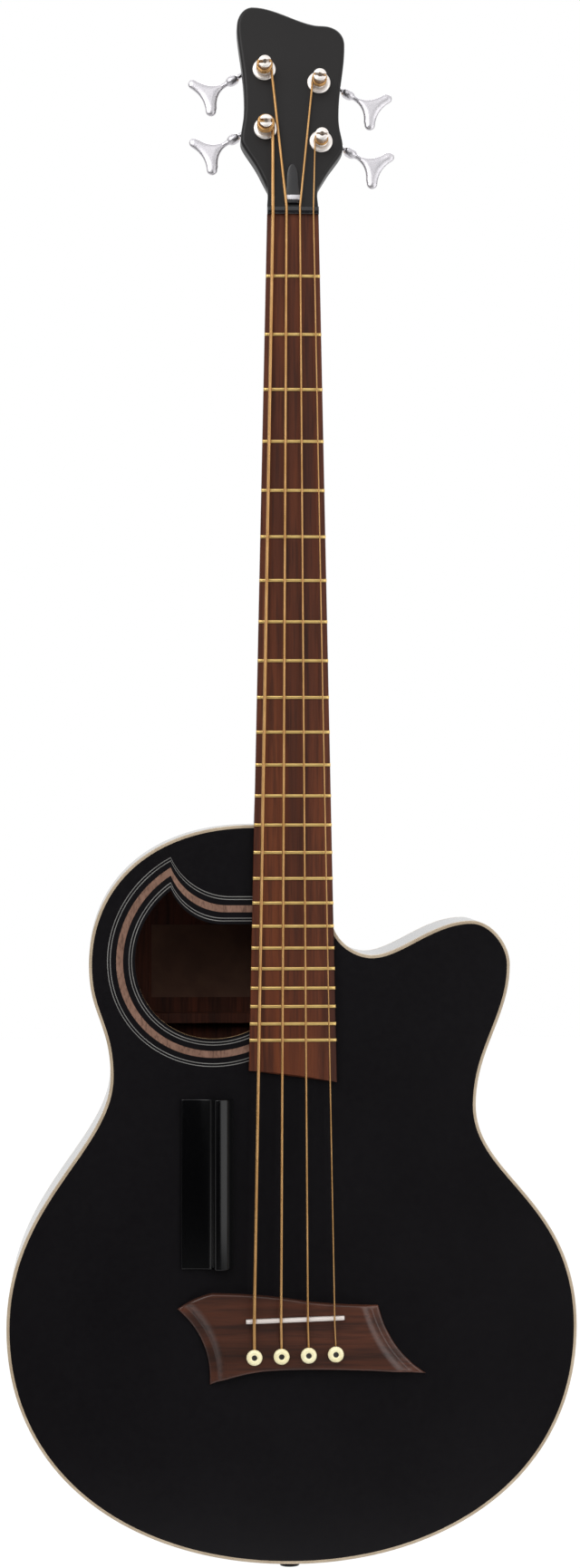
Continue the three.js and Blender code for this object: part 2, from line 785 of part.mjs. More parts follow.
// Neck: round-backed sections from the heel to the nut, then square ones into the headstock
function neckSection(halfWidth, depth, roundness, toPoint) {
  const steps = neckSectionSteps;
  return Array.from({ length: steps + 1 }, (_, i) => {
    const angle = (Math.PI * i) / steps;
    const across = Math.sign(Math.cos(angle)) * Math.abs(Math.cos(angle)) ** roundness;
    return toPoint(halfWidth * across, -depth * Math.sin(angle) ** roundness);
  });
}

// Rows of shares: place along the heel, depth and roundness
const heelShares = [
  [0, 1.12, 0.8],
  [0.1, 1.08, 0.8],
  [0.24, 0.8, 0.85],
  [0.42, 0.5, 0.9],
  [0.68, 0.34, 0.9],
  [1, 0.306, 0.9],
];
// Rows of shares: place along the headstock, width, depth and roundness
const headFootShares = [
  [0, 1, 1.02, 0.7],
  [0.047, 1.02, 1, 0.45],
  [0.13, 1.1, 0.94, 0.3],
];
const shaftStartShare = 1.6;
const shaftShares = [0, 0.5, 1];
const shaftRoundness = 0.9;

function neckBlank() {
  const heelY = bodyTopY + seatGap;
  const inNeck = (y) => (x, z) => new THREE.Vector3(x, y, z);
  const heel = heelShares.map(([along, deep, roundness]) => {
    const y = heelY + along * heelLength;
    return neckSection(boardHalfWidth(y), deep * heelDepth, roundness, inNeck(y));
  });
  const shaft = shaftShares.map((share) => {
    const y = lerp(heelY + shaftStartShare * heelLength, -nutLength, share);
    const depth = lerp(neckDepthAtHeel, neckDepthAtNut, share);
    return neckSection(boardHalfWidth(y), depth, shaftRoundness, inNeck(y));
  });
  const head = headFootShares.map(([along, wide, deep, roundness]) => {
    const onFace = (x, z) => onHead(x, along * headLength, z);
    return neckSection(wide * boardHalfWidth(nutLength), deep * headThickness, roundness, onFace);
  });
  return loft([...heel, ...shaft, ...head]);
}

// Headstock outline in its own frame, from the nut up the bass side, over the top and down the treble side
const bassLobeShare = 0.335;
const bassHeadWaistShare = 0.52;
const bassShoulderShare = 0.9;
const trebleCrestShare = 0.91;
const trebleShoulderShare = 0.815;
const trebleHeadWaistShare = 0.45;
const trebleLobeShare = 0.305;
const headHandleShares = {
  bassFoot: [0.5, 0.16],
  bassLobe: [0.3, 0.5],
  bassFlare: [0.45, 0.25],
  crestCorner: [0.6, 0.5],
  crest: [0.35, 0.3],
  trebleCorner: [0.75, 0.45],
  trebleFlare: [0.35, 0.4],
  trebleLobe: [0.45, 0.3],
  trebleFoot: [0.22, 0.5],
};

function headOutline() {
  const shares = headHandleShares;
  const at = (x, share) => [x, share * headLength];
  const base = boardHalfWidth(nutLength);
  const bassFoot = [-base, nutLength];
  const bassLobe = at(-headLobeReach, bassLobeShare);
  const bassWaist = at(-headWaistReach, bassHeadWaistShare);
  const bassShoulder = at(-headShoulderReach, bassShoulderShare);
  const crest = at(-headPeakReach, 1);
  const trebleCrest = at(headPeakReach - 2 * headEdgeRound, trebleCrestShare);
  const trebleShoulder = at(headShoulderReach, trebleShoulderShare);
  const trebleWaist = at(headWaistReach, trebleHeadWaistShare);
  const trebleLobe = at(headLobeReach, trebleLobeShare);
  return chain([
    [bend(bassFoot, bassLobe, 'yy', shares.bassFoot), curveSteps.tight],
    [bend(bassLobe, bassWaist, 'yy', shares.bassLobe), curveSteps.corner],
    [bend(bassWaist, bassShoulder, 'yy', shares.bassFlare), curveSteps.bridge],
    [bend(bassShoulder, crest, 'yx', shares.crestCorner), curveSteps.bridge],
    [bend(crest, trebleCrest, 'xx', shares.crest), curveSteps.tight],
    [bend(trebleCrest, trebleShoulder, 'xy', shares.trebleCorner), curveSteps.tight],
    [bend(trebleShoulder, trebleWaist, 'yy', shares.trebleFlare), curveSteps.bridge],
    [bend(trebleWaist, trebleLobe, 'yy', shares.trebleLobe), curveSteps.corner],
    [bend(trebleLobe, [base, nutLength], 'yy', shares.trebleFoot), curveSteps.tight],
  ]);
}

function headSlab() {
  const shape = new THREE.Shape(headOutline());
  const slab = new THREE.ExtrudeGeometry(shape, {
    depth: headThickness - 2 * headEdgeRound,
    bevelThickness: headEdgeRound,
    bevelSize: headEdgeRound,
    bevelOffset: -headEdgeRound,
    bevelSegments: 2,
  });
  return slab.translate(0, 0, headEdgeRound - headThickness).applyMatrix4(headMatrix);
}

const rodBackY = bodyTopY + rodEndMargin;
const rodFrontY = nutLength + seatGap;
const rodCentreZ = -rodBelowBoard - rodDepth / 2;
const rodFloorZ = rodCentreZ - rodDepth / 2 - seatGap;
const pocketFrontY = rodFrontY + rodPocketLength;

function neck() {
  const blank = join(neckBlank(), headSlab());
  const heelCut = boxBetween(
    [-boardHalfWidth(tailY), bodyTopY - cutOverrun, -2 * heelDepth],
    [boardHalfWidth(tailY), bodyTopY + heelLength, -heelDepth],
  );
  const rodSlot = boxBetween(
    [-rodWidth / 2 - seatGap, rodBackY - seatGap, rodFloorZ],
    [rodWidth / 2 + seatGap, rodFrontY + cutOverrun, cutOverrun],
  );
  const pocket = boxBetween(
    [-rodPocketWidth / 2, rodFrontY + seatGap, rodFloorZ],
    [rodPocketWidth / 2, pocketFrontY, cutOverrun],
  );
  const postHoles = strings.map((_, i) => {
    const radius = bushingRadius + seatGap;
    const hole = rod(postX(i), postV(i), -headThickness - cutOverrun, cutOverrun, radius, roundSides.plain);
    return hole.applyMatrix4(headMatrix);
  });
  return cut(blank, heelCut, rodSlot, pocket, ...postHoles);
}

// Fingerboard and frets are one loft: each fret is four more sections with a raised top
const boardTopShares = [1, 0, -1];
const boardEndCurveShare = 0.65;

function fingerboard() {
  const slant = (share) => boardEndSlant * lerp(share, share ** 2, boardEndCurveShare);
  const section = (y, raise, slanted = 0) => {
    const half = boardHalfWidth(y);
    const point = (u, z) => new THREE.Vector3(u * half, y - slanted * slant((u + 1) / 2), z);
    const top = boardTopShares.map((u) => point(u, boardEdgeThickness + boardCamber * (1 - u ** 2) + raise));
    return [point(-1, 0), point(1, 0), ...top];
  };
  const frets = Array.from({ length: fretCount }, (_, i) => fretY(i + 1)).flatMap((y) => [
    section(y + fretWidth / 2, 0),
    section(y + fretCrownWidth / 2, fretHeight),
    section(y - fretCrownWidth / 2, fretHeight),
    section(y - fretWidth / 2, 0),
  ]);
  return loft([section(0, 0), ...frets, section(boardEndY, 0, 1)]);
}

function trussRod() {
  return boxBetween(
    [-rodWidth / 2, rodBackY, rodCentreZ - rodDepth / 2],
    [rodWidth / 2, rodFrontY, rodCentreZ + rodDepth / 2],
  );
}

function trussRodNut() {
  const hex = new THREE.CylinderGeometry(rodNutRadius, rodNutRadius, rodNutLength, 6);
  return hex.translate(0, rodFrontY + 2 * seatGap + rodNutLength / 2, rodCentreZ);
}

const coverWaistShare = 0.55;
const coverHandleShares = { flank: [0.4, 0.4], tip: [0.6, 0.6] };

function rodCover() {
  const shares = coverHandleShares;
  const foot = nutLength / 2;
  const waistY = foot + coverWaistShare * coverLength;
  const tip = [0, foot + coverLength];
  const [left, right] = [-1, 1].map((sign) => ({
    foot: [sign * coverWidth / 2, foot],
    waist: [sign * coverWaistWidth / 2, waistY],
  }));
  const loop = chain([
    [straight(left.foot, right.foot), 1],
    [bend(right.foot, right.waist, 'yy', shares.flank), curveSteps.corner],
    [bend(right.waist, tip, 'yx', shares.tip), curveSteps.bridge],
    [bend(tip, left.waist, 'xy', shares.tip), curveSteps.bridge],
    [bend(left.waist, left.foot, 'yy', shares.flank), curveSteps.corner],
  ]).slice(0, -1);
  return prism(loop, seatGap, seatGap + coverThickness).applyMatrix4(headMatrix);
}

const stringTube = (i, grow) => tubeAlong(stringRoute(i), strings[i].diameter / 2 + grow, stringSides);

function nut() {
  const half = boardHalfWidth(0);
  const profile = [
    [0, 0],
    [0, nutHeight],
    [nutLength / 2, nutHeight],
    [nutLength, nutBackHeight],
    [nutLength, 0],
  ];
  const loop = profile.map(([y, z]) => new THREE.Vector2(y, z));
  const bar = prism(loop, -half, half).rotateX(radians(90)).rotateZ(radians(90));
  return cut(bar, ...strings.map((_, i) => stringTube(i, seatGap)));
}

// Bridge: bat-wing outline, hollowed ends with a raised ridge, saddle slot, pin holes
// and string ramps. Rows of shares of the span: from, handle and to, each across and along.
const bridgeOutlineShares = [
  [-0.469, 0.04, -0.4, 0.09, -0.33, 0.103],
  [-0.33, 0.103, -0.12, 0.1, 0.05, 0.068],
  [0.05, 0.068, 0.2, 0.052, 0.335, 0.052],
  [0.335, 0.052, 0.38, -0.13, 0.5265, -0.222],
  [0.5265, -0.222, 0.1, -0.19, -0.13, -0.208],
  [-0.13, -0.208, -0.24, -0.222, -0.34, -0.262],
  [-0.34, -0.262, -0.33, -0.08, -0.469, 0.04],
];
const bassScallopShares = [-0.469, 0.04, -0.365, -0.1, -0.34, -0.262];
const trebleScallopShares = [0.335, 0.052, 0.405, -0.1, 0.5265, -0.222];

// The three points of a row of shares of the bridge's span
function bridgePoints([fromX, fromY, midX, midY, toX, toY]) {
  return [[fromX, fromY], [midX, midY], [toX, toY]].map(([x, y]) => new THREE.Vector2(
    bridgeCentreX + x * bridgeSpan,
    saddleY + y * bridgeSpan,
  ));
}

function bridgeOutline() {
  const curves = bridgeOutlineShares.map((row) => new THREE.QuadraticBezierCurve(...bridgePoints(row)));
  return chain(curves.map((curve) => [curve, curveSteps.bridge])).slice(0, -1);
}

// A cone standing on the arc of a hollowed end, which leaves a slope and a curved ridge
function scallop(shares) {
  const [a, b, c] = bridgePoints(shares);
  const d = 2 * (a.x * (b.y - c.y) + b.x * (c.y - a.y) + c.x * (a.y - b.y));
  const [aa, bb, cc] = [a.lengthSq(), b.lengthSq(), c.lengthSq()];
  const centreX = (aa * (b.y - c.y) + bb * (c.y - a.y) + cc * (a.y - b.y)) / d;
  const centreY = (aa * (c.x - b.x) + bb * (a.x - c.x) + cc * (b.x - a.x)) / d;
  const radius = Math.hypot(a.x - centreX, a.y - centreY);
  const rise = bridgeHeight - bridgeWingHeight;
  const cone = new THREE.CylinderGeometry(radius + 2 * bridgeScallopWidth, radius, 2 * rise, roundSides.wide);
  return cone.rotateX(radians(90)).translate(centreX, centreY, bridgeWingHeight + rise);
}

function bridge() {
  const shape = new THREE.Shape(bridgeOutline());
  const blank = new THREE.ExtrudeGeometry(shape, {
    depth: bridgeHeight - bridgeEdgeRound,
    bevelThickness: bridgeEdgeRound,
    bevelSize: bridgeEdgeRound,
    bevelOffset: -bridgeEdgeRound,
    bevelSegments: 1,
  });
  const floor = boxBetween(
    [-bridgeSpan, saddleY - bridgeSpan, -bridgeHeight],
    [bridgeSpan, saddleY + bridgeSpan, 0],
  );
  return cut(
    blank,
    floor,
    scallop(bassScallopShares),
    scallop(trebleScallopShares),
    saddleBar(seatGap),
    ...pinHoles(-cutOverrun, bridgeHeight + cutOverrun),
    ...strings.map((_, i) => stringTube(i, seatGap)),
  );
}

function saddleBar(grow) {
  const half = saddleLength / 2 + grow;
  const thick = saddleThickness / 2 + grow;
  const top = actionAtSaddle + 2 * seatGap;
  const bottom = bridgeHeight - saddleDepthInBridge - grow;
  const bar = boxBetween([-half, -thick, bottom], [half, thick, top]);
  return bar.rotateZ(Math.atan(saddleSlant / saddleLength)).translate(bridgeCentreX, saddleY, 0);
}

function saddle() {
  return cut(saddleBar(0), ...strings.map((_, i) => stringTube(i, seatGap)));
}

// Bridge pin: a headed taper with a groove for its string
function bridgePin(i) {
  const seat = bridgeHeight + seatGap;
  const profile = [
    [0, seat - pinLength],
    [pinTipRadius, seat - pinLength],
    [pinShaftRadius, seat - seatGap],
    [pinShaftRadius, seat],
    [pinHeadRadius, seat],
    [pinHeadRadius, seat + pinHeadHeight / 2],
    [pinHeadRadius * pinCrownShare, seat + pinHeadHeight],
    [pinDimpleRadius, seat + pinHeadHeight],
    [0, seat + pinHeadHeight / 2],
  ];
  const pin = turned(profile, roundSides.plain).translate(pinX(i), pinY(i), 0);
  const r = strings[i].diameter / 2;
  const groove = boxBetween(
    [pinX(i) - r - seatGap, pinY(i) + stringInHole(i) - r - seatGap, seat - pinLength - cutOverrun],
    [pinX(i) + r + seatGap, pinY(i) + pinHeadRadius, seat - seatGap],
  );
  return cut(pin, groove);
}

function stringRun(i) {
  const route = stringRoute(i);
  const under = -soundboardThickness - bridgePlateThickness;
  const profile = [-90, -45, 0, 45, 90].map((angle) => [
    ballRadius * Math.cos(radians(angle)),
    ballRadius * Math.sin(radians(angle)),
  ]);
  const ball = turned(profile, roundSides.tiny);
  ball.translate(route[0].x, route[0].y + ballRadius / 2, under - ballDrop);
  return join(tubeAlong(route, strings[i].diameter / 2, stringSides), ball);
}

// Thumb rest: a bar with a scooped face that rises to a ridge, between the rosette and the bridge
const thumbRestSpanShares = [0.14, 0.89];
const thumbRestRidgeShare = 0.78;
const thumbRestScoopShare = 0.7;
const thumbRestBackShare = 0.86;
const bridgeTopShare = 0.1;

function thumbRest() {
  const bridgeTopY = saddleY + bridgeTopShare * bridgeSpan;
  const [upperY, lowerY] = thumbRestSpanShares.map((share) => lerp(rosetteBottomY, bridgeTopY, share));
  const w = thumbRestWidth;
  const h = thumbRestHeight;
  const scoop = new THREE.QuadraticBezierCurve(
    new THREE.Vector2(thumbRestRidgeShare * w, h),
    new THREE.Vector2(thumbRestScoopShare * w, thumbRestLowHeight),
    new THREE.Vector2(0, thumbRestLowHeight),
  );
  const loop = [
    new THREE.Vector2(0, 0),
    new THREE.Vector2(w, 0),
    new THREE.Vector2(thumbRestBackShare * w, h),
    ...scoop.getPoints(curveSteps.tight),
  ];
  return prism(loop, -upperY, -lowerY).rotateX(radians(90)).translate(-thumbRestReach, 0, 0);
}

// Strap buttons: a turned knob that stands along z from a flat seat
// Rows of shares: radius between the neck's and the head's, and height
const knobShares = [
  [1, 0],
  [1, 0.12],
  [0, 0.35],
  [0, 0.65],
  [1, 0.85],
  [0.8, 1],
];

function knobProfile() {
  const rows = knobShares.map(([out, up]) => [lerp(buttonNeckRadius, buttonRadius, out), up * buttonHeight]);
  return [[0, 0], ...rows, [0, buttonHeight]];
}

function endPin() {
  const profile = knobProfile();
  profile.splice(0, 1, [0, -endPinStemLength], [endPinStemRadius, -endPinStemLength], [endPinStemRadius, 0]);
  return turned(profile, roundSides.smooth).rotateX(radians(90)).translate(0, tailY - seatGap, endPinZ);
}

function strapButton() {
  const knob = turned(knobProfile(), roundSides.smooth).rotateX(radians(180));
  return knob.translate(0, bodyTopY + strapButtonHeelOffset, -heelDepth);
}

// Tuner geometry in its own frame: the post's axis is z at the origin, the worm lies along t and s
// stands off towards the top of the headstock. w counts from the face of the headstock.
const gearPitchRadius = (gearTeeth * gearModule) / 2;
const wormPitch = Math.PI * gearModule;
const wormOffset = gearPitchRadius + wormPitchRadius;
const wormLength = wormTurns * wormPitch;
const wormOuter = wormPitchRadius + toothHeightShare * gearModule;
const wormCore = wormPitchRadius - toothRootShare * gearModule;
const plateFront = -headThickness - seatGap;
const plateBack = plateFront - plateThickness;
const wormW = plateBack - 2 * seatGap - wormOuter;
const gearTop = wormW + gearThickness / 2;
const gearBottom = wormW - gearThickness / 2;
const lugAt = wormLength / 2 + lugGap;
const flankSlope = Math.tan(radians(pressureAngle));

// The tuner's own axes on the headstock, for one side: along the key, towards the tip, out of the face
function tunerMatrix(i) {
  const mirror = strings[i].side;
  const angle = radians(keyAngle);
  const along = new THREE.Vector3(mirror * Math.cos(angle), -Math.sin(angle), 0);
  const off = new THREE.Vector3(mirror * Math.sin(angle), Math.cos(angle), 0);
  const matrix = new THREE.Matrix4().makeBasis(along, off, along.clone().cross(off));
  return matrix.setPosition(postX(i), postV(i), 0);
}

// On the treble side the tuner's frame is a half turn about its key's line of the bass side's,
// so heights are mirrored there to keep the gear behind the headstock
const heightSign = (i) => (strings[i].side < 0 ? -1 : 1);

function tunerPlate(sign) {
  const halfLength = plateLength / 2;
  const far = wormOffset + wormOuter;
  const r = plateRim / 3;
  const shape = new THREE.Shape();
  shape.moveTo(-halfLength + r, -plateRim);
  shape.absarc(halfLength - r, -plateRim + r, r, radians(-90), 0);
  shape.absarc(halfLength - r, far - r, r, 0, radians(90));
  shape.absarc(-halfLength + r, far - r, r, radians(90), radians(180));
  shape.absarc(-halfLength + r, -plateRim + r, r, radians(180), radians(270));
  const options = { depth: plateThickness, bevelEnabled: false, curveSegments: 2 };
  const plate = new THREE.ExtrudeGeometry(shape, options).translate(0, 0, plateBack);
  const lugReach = keyShaftRadius + seatGap + lugRim;
  const lugs = [lugAt, -lugAt - lugThickness].map((t) => {
    const lug = boxBetween(
      [t, wormOffset - lugReach, wormW - lugReach],
      [t + lugThickness, wormOffset + lugReach, plateBack + plateThickness / 2],
    );
    const bore = new THREE.CylinderGeometry(
      keyShaftRadius + seatGap,
      keyShaftRadius + seatGap,
      lugThickness + 2 * cutOverrun,
      roundSides.small,
    );
    return cut(lug, bore.rotateZ(radians(90)).translate(t, wormOffset, wormW));
  });
  const boreRadius = postRadius + seatGap;
  const postBore = rod(0, 0, plateBack - cutOverrun, plateFront + cutOverrun, boreRadius, roundSides.small);
  return standing(cut(join(plate, ...lugs), postBore), sign);
}

// A solid of the tuner's frame, mirrored in height where the frame is the other way up
function standing(geometry, sign) {
  if (sign > 0) {
    return geometry;
  }
  return toGeometry(toSolid(geometry).mirror([0, 0, 1]));
}

function bushing() {
  const bore = postRadius + seatGap;
  const profile = [
    [bore, -bushingLength],
    [bushingRadius, -bushingLength],
    [bushingRadius, seatGap],
    [bushingFlangeRadius, seatGap],
    [bushingFlangeRadius - 2 * seatGap, bushingFlangeHeight],
    [bore, bushingFlangeHeight],
    [bore, -bushingLength],
  ];
  return turned(profile, roundSides.plain);
}

// String post: stub in the gear, shaft in the bushing, drum with a waist, and a slotted top
function stringPost(i) {
  const drumBase = bushingFlangeHeight + seatGap;
  const profile = [
    [0, gearBottom - seatGap],
    [postStubRadius, gearBottom - seatGap],
    [postStubRadius, gearTop + seatGap],
    [postRadius, gearTop + seatGap],
    [postRadius, drumBase],
    [postTopRadius, drumBase],
    [postTopRadius, drumBase + 2 * seatGap],
    [postWaistRadius, drumBase + 4 * seatGap],
    [postWaistRadius, postHeight - 4 * seatGap],
    [postTopRadius, postHeight - seatGap],
    [postTopRadius - seatGap, postHeight],
    [0, postHeight],
  ];
  const post = turned(profile, roundSides.small);
  const slotHalf = strings[i].diameter / 2 + seatGap;
  const low = windingTopW(i) - slotHalf;
  const high = postHeight + cutOverrun;
  const slot = boxBetween([-2 * postTopRadius, -slotHalf, low], [2 * postTopRadius, slotHalf, high]);
  slot.rotateZ(windingEndAngle(i));
  return cut(post, slot, rod(0, 0, low - postSlotDepth, high, postHoleRadius, roundSides.tiny));
}

const windingSign = (i) => -strings[i].side;
const windingEndAngle = (i) => touchAngle(i) + windingSign(i) * 2 * Math.PI * strings[i].turns;
const windingTopW = (i) => windingLowW(i) + strings[i].turns * windingPitch(i);

// The wound string: turns up the post, then in through the slot and down the post's bore
function windingRoute(i) {
  const stepsPerTurn = windingStepsPerTurn;
  const count = Math.round(stepsPerTurn * strings[i].turns);
  const radius = windingRadius(i);
  const points = Array.from({ length: count + 1 }, (_, k) => {
    const turn = k / stepsPerTurn;
    const angle = touchAngle(i) + windingSign(i) * 2 * Math.PI * turn;
    const w = windingLowW(i) + turn * windingPitch(i);
    return new THREE.Vector3(radius * Math.cos(angle), radius * Math.sin(angle), w);
  });
  const end = windingEndAngle(i);
  const inward = (r, w) => new THREE.Vector3(r * Math.cos(end), r * Math.sin(end), w);
  const r = strings[i].diameter / 2;
  points.push(inward(radius - 2 * r, windingTopW(i)), inward(r, windingTopW(i)));
  return points;
}

function stringWinding(i) {
  return tubeAlong(windingRoute(i), strings[i].diameter / 2, windingSides);
}

// Least gap between turns of a winding, measured from point to point a third of a turn or more apart
function windingGap(i) {
  const route = windingRoute(i);
  const apart = windingStepsPerTurn / 3;
  let least = Infinity;
  route.forEach((point, a) => {
    for (let b = a + apart; b < route.length; b += 1) {
      least = Math.min(least, point.distanceTo(route[b]));
    }
  });
  return least - strings[i].diameter;
}

// Gear: twenty straight-flanked teeth, twisted by the worm's lead angle
function gear(sign) {
  const outer = gearPitchRadius + toothHeightShare * gearModule;
  const root = gearPitchRadius - toothRootShare * gearModule;
  const pitchHalf = (toothThicknessShare * wormPitch) / 2;
  const tipHalf = pitchHalf - toothHeightShare * gearModule * flankSlope;
  const rootHalf = pitchHalf + toothRootShare * gearModule * flankSlope;
  const step = (2 * Math.PI) / gearTeeth;
  const leadAngle = Math.atan(wormPitch / (2 * Math.PI * wormPitchRadius));
  const twist = (Math.tan(leadAngle) * gearThickness) / 2 / gearPitchRadius;
  const ring = (w, turn) => Array.from({ length: gearTeeth }, (_, k) => {
    const centre = k * step + turn + Math.PI / 2;
    const corners = [[root, -rootHalf], [outer, -tipHalf], [outer, tipHalf], [root, rootHalf]];
    return corners.map(([radius, half]) => {
      const angle = centre + half / radius;
      return new THREE.Vector3(radius * Math.cos(angle), radius * Math.sin(angle), w);
    });
  }).flat();
  const wheel = loftStar(ring(gearBottom, -twist), ring(gearTop, twist));
  const boreRadius = postStubRadius + seatGap;
  const bore = rod(0, 0, gearBottom - cutOverrun, gearTop + cutOverrun, boreRadius, roundSides.small);
  return standing(cut(wheel, bore), sign);
}

// A two-ring loft whose end faces fan from their centres, for star-shaped sections
function loftStar(lower, upper) {
  const count = lower.length;
  const position = [...lower, ...upper].flatMap((point) => point.toArray());
  position.push(0, 0, lower[0].z, 0, 0, upper[0].z);
  const index = [];
  for (let j = 0; j < count; j += 1) {
    const next = (j + 1) % count;
    index.push(j, next, next + count, j, next + count, j + count);
    index.push(2 * count, next, j, 2 * count + 1, j + count, next + count);
  }
  const geometry = new THREE.BufferGeometry();
  geometry.setAttribute('position', new THREE.Float32BufferAttribute(position, 3));
  geometry.setIndex(index);
  return facingOut(geometry);
}

// Worm: a trapezoid thread swept on a helix about the key's shaft, which runs along x
function wormThread() {
  const stepsPerTurn = wormStepsPerTurn;
  const count = stepsPerTurn * wormTurns;
  const pitchHalf = (toothThicknessShare * wormPitch) / 2;
  const crestHalf = pitchHalf - toothHeightShare * gearModule * flankSlope;
  const rootHalf = pitchHalf + toothRootShare * gearModule * flankSlope;
  const buried = wormCore - seatGap;
  const rings = Array.from({ length: count + 1 }, (_, k) => {
    const turn = k / stepsPerTurn - wormTurns / 2;
    const angle = 2 * Math.PI * turn;
    const corners = [
      [buried, -rootHalf],
      [wormOuter, -crestHalf],
      [wormOuter, crestHalf],
      [buried, rootHalf],
    ];
    return corners.map(([radius, half]) => new THREE.Vector3(
      wormPitch * turn + half,
      radius * Math.cos(angle),
      radius * Math.sin(angle),
    ));
  });
  return loft(rings);
}

// Key: inner journal, worm, outer journal, collar, slim neck and the two-lobed finger piece
function tunerKey(sign) {
  const profile = [
    [0, -lugAt - lugThickness - lugGap],
    [keyShaftRadius, -lugAt - lugThickness - lugGap],
    [keyShaftRadius, -wormLength / 2 - seatGap],
    [wormCore, -wormLength / 2 - seatGap],
    [wormCore, wormLength / 2 + seatGap],
    [keyShaftRadius, wormLength / 2 + seatGap],
    [keyShaftRadius, collarStart],
    [collarRadius, collarStart + lugThickness],
    [collarRadius, collarEnd - lugThickness],
    [keyNeckRadius, collarEnd],
    [keyNeckRadius, keyNeckAt + keyNeckRadius],
    [0, keyNeckAt + 2 * keyNeckRadius],
  ];
  const shaft = turned(profile, roundSides.small).rotateY(radians(90));
  const whole = join(shaft, wormThread(), keyLobes());
  return standing(whole.translate(0, wormOffset, wormW), sign);
}

function keyLobes() {
  const tip = keyTipAt;
  const r = keyLobeRadius;
  const lobeY = keyTipReach - r / 2;
  const lean = radians(lobeLean);
  const halfway = lerp(keyNeckAt, tip, keyFlareShare);
  const shape = new THREE.Shape();
  shape.moveTo(keyNeckAt, -keyNeckRadius);
  shape.quadraticCurveTo(halfway, -keyNeckRadius, tip - r, -keyTipReach);
  shape.absarc(tip, -lobeY, r, Math.PI + lean, 2 * Math.PI + lean, false);
  shape.quadraticCurveTo(tip - r / 2, 0, tip + r * Math.cos(lean), lobeY - r * Math.sin(lean));
  shape.absarc(tip, lobeY, r, -lean, Math.PI - lean, false);
  shape.quadraticCurveTo(halfway, keyNeckRadius, keyNeckAt, keyNeckRadius);
  const lobes = new THREE.ExtrudeGeometry(shape, {
    depth: keyThickness - 2 * keyEdgeRound,
    bevelThickness: keyEdgeRound,
    bevelSize: keyEdgeRound,
    bevelOffset: -keyEdgeRound,
    bevelSegments: 1,
    curveSegments: curveSteps.corner,
  });
  return lobes.translate(0, 0, keyEdgeRound - keyThickness / 2);
}

// Assembly: body shell
place('soundboard', soundboard(), 'black_satin');
place('back_plate', backPlate(), 'black_gloss');
place('bass_side', side(indexRange(0, body.neckIndex), -glueSeam / 2), 'black_gloss');
place('treble_side', side(indexRange(body.neckIndex, body.loop.length), glueSeam / 2), 'black_gloss');
place('top_binding', topBinding(), 'cream');
place('back_binding', backBinding(), 'cream');
place('rosette', rosette(), 'rosette_wood');
place('neck_block', endBlock(neckBlockBox(0)), 'red_brown_wood');
place('tail_block', tailBlock(), 'red_brown_wood');
place('top_lining', lining(topLiningLower, () => -soundboardThickness), 'red_brown_wood');
place('back_lining', lining(backSeat, backLiningUpper), 'red_brown_wood');

// Assembly: braces
place('x_brace_bass', xBrace(-1), 'spruce');
place('x_brace_treble', xBrace(1), 'spruce');
place('waist_brace', waistBrace(), 'spruce');
place('bridge_plate', bridgePlate(), 'red_brown_wood');
place('upper_back_brace', backBrace(upperBackBraceDrop), 'red_brown_wood');
place('lower_back_brace', backBrace(lowerBackBraceDrop), 'red_brown_wood');

// Assembly: neck
place('neck', neck(), 'head_satin');
place('fingerboard', fingerboard(), 'board_wood');
place('truss_rod', trussRod(), 'steel');
place('truss_rod_nut', trussRodNut(), 'steel');
place('truss_rod_cover', rodCover(), 'black_plastic');
place('nut', nut(), 'black_plastic');

// Assembly: bridge, strings and fittings
place('bridge', bridge(), 'bridge_wood');
place('saddle', saddle(), 'bone');
place('thumb_rest', thumbRest(), 'black_gloss');
place('end_pin', endPin(), 'black_plastic');
place('strap_button', strapButton(), 'black_plastic');
strings.forEach(({ name }, i) => {
  place(`bridge_pin_${name}`, bridgePin(i), 'bone');
  place(`string_${name}`, stringRun(i), 'bronze');
});

// Assembly: tuners, in groups that lie on the tilted headstock
const headGroup = new THREE.Group();
headGroup.position.y = nutLength;
headGroup.rotation.x = -radians(headTilt);
instrument.add(headGroup);
strings.forEach(({ name }, i) => {
  const postGroup = new THREE.Group();
  postGroup.position.set(postX(i), postV(i), 0);
  headGroup.add(postGroup);
  place(`tuner_bushing_${name}`, bushing(), 'chrome', postGroup);
  place(`string_post_${name}`, stringPost(i), 'chrome', postGroup);
  place(`string_winding_${name}`, stringWinding(i), 'bronze', postGroup);
  const tunerGroup = new THREE.Group();
  tunerGroup.applyMatrix4(tunerMatrix(i));
  headGroup.add(tunerGroup);
  place(`tuner_plate_${name}`, tunerPlate(heightSign(i)), 'chrome', tunerGroup);
  place(`tuner_gear_${name}`, gear(heightSign(i)), 'brass', tunerGroup);
  place(`tuner_key_${name}`, tunerKey(heightSign(i)), 'chrome', tunerGroup);
  console.log(`winding ${name}: least gap between turns ${windingGap(i).toFixed(2)} mm`);
});

// The instrument stands up, with the origin between the arms of a hanger under the headstock
const hangerAboveNut = 14;
const hangerBehindFace = 9;
instrument.rotation.x = radians(90);
instrument.position.set(0, -hangerBehindFace, -hangerAboveNut);
const acousticBass = new THREE.Group();
acousticBass.name = 'acoustic_bass_guitar';
acousticBass.add(instrument);

export default acousticBass;
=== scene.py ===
"""Looks of the acoustic bass guitar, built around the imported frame.

Shapes are drawn in millimetres in the instrument's own frame: x to the treble side, y from the
nut towards the headstock, z out of the soundboard. Matrices take them to the frame's metres.
"""
from collections import namedtuple
from math import acos, asin, atan, atan2, copysign, cos, hypot, pi, radians, sin, sqrt, tan

import bmesh
import bpy
from mathutils import Matrix, Vector
from mathutils.geometry import delaunay_2d_cdt


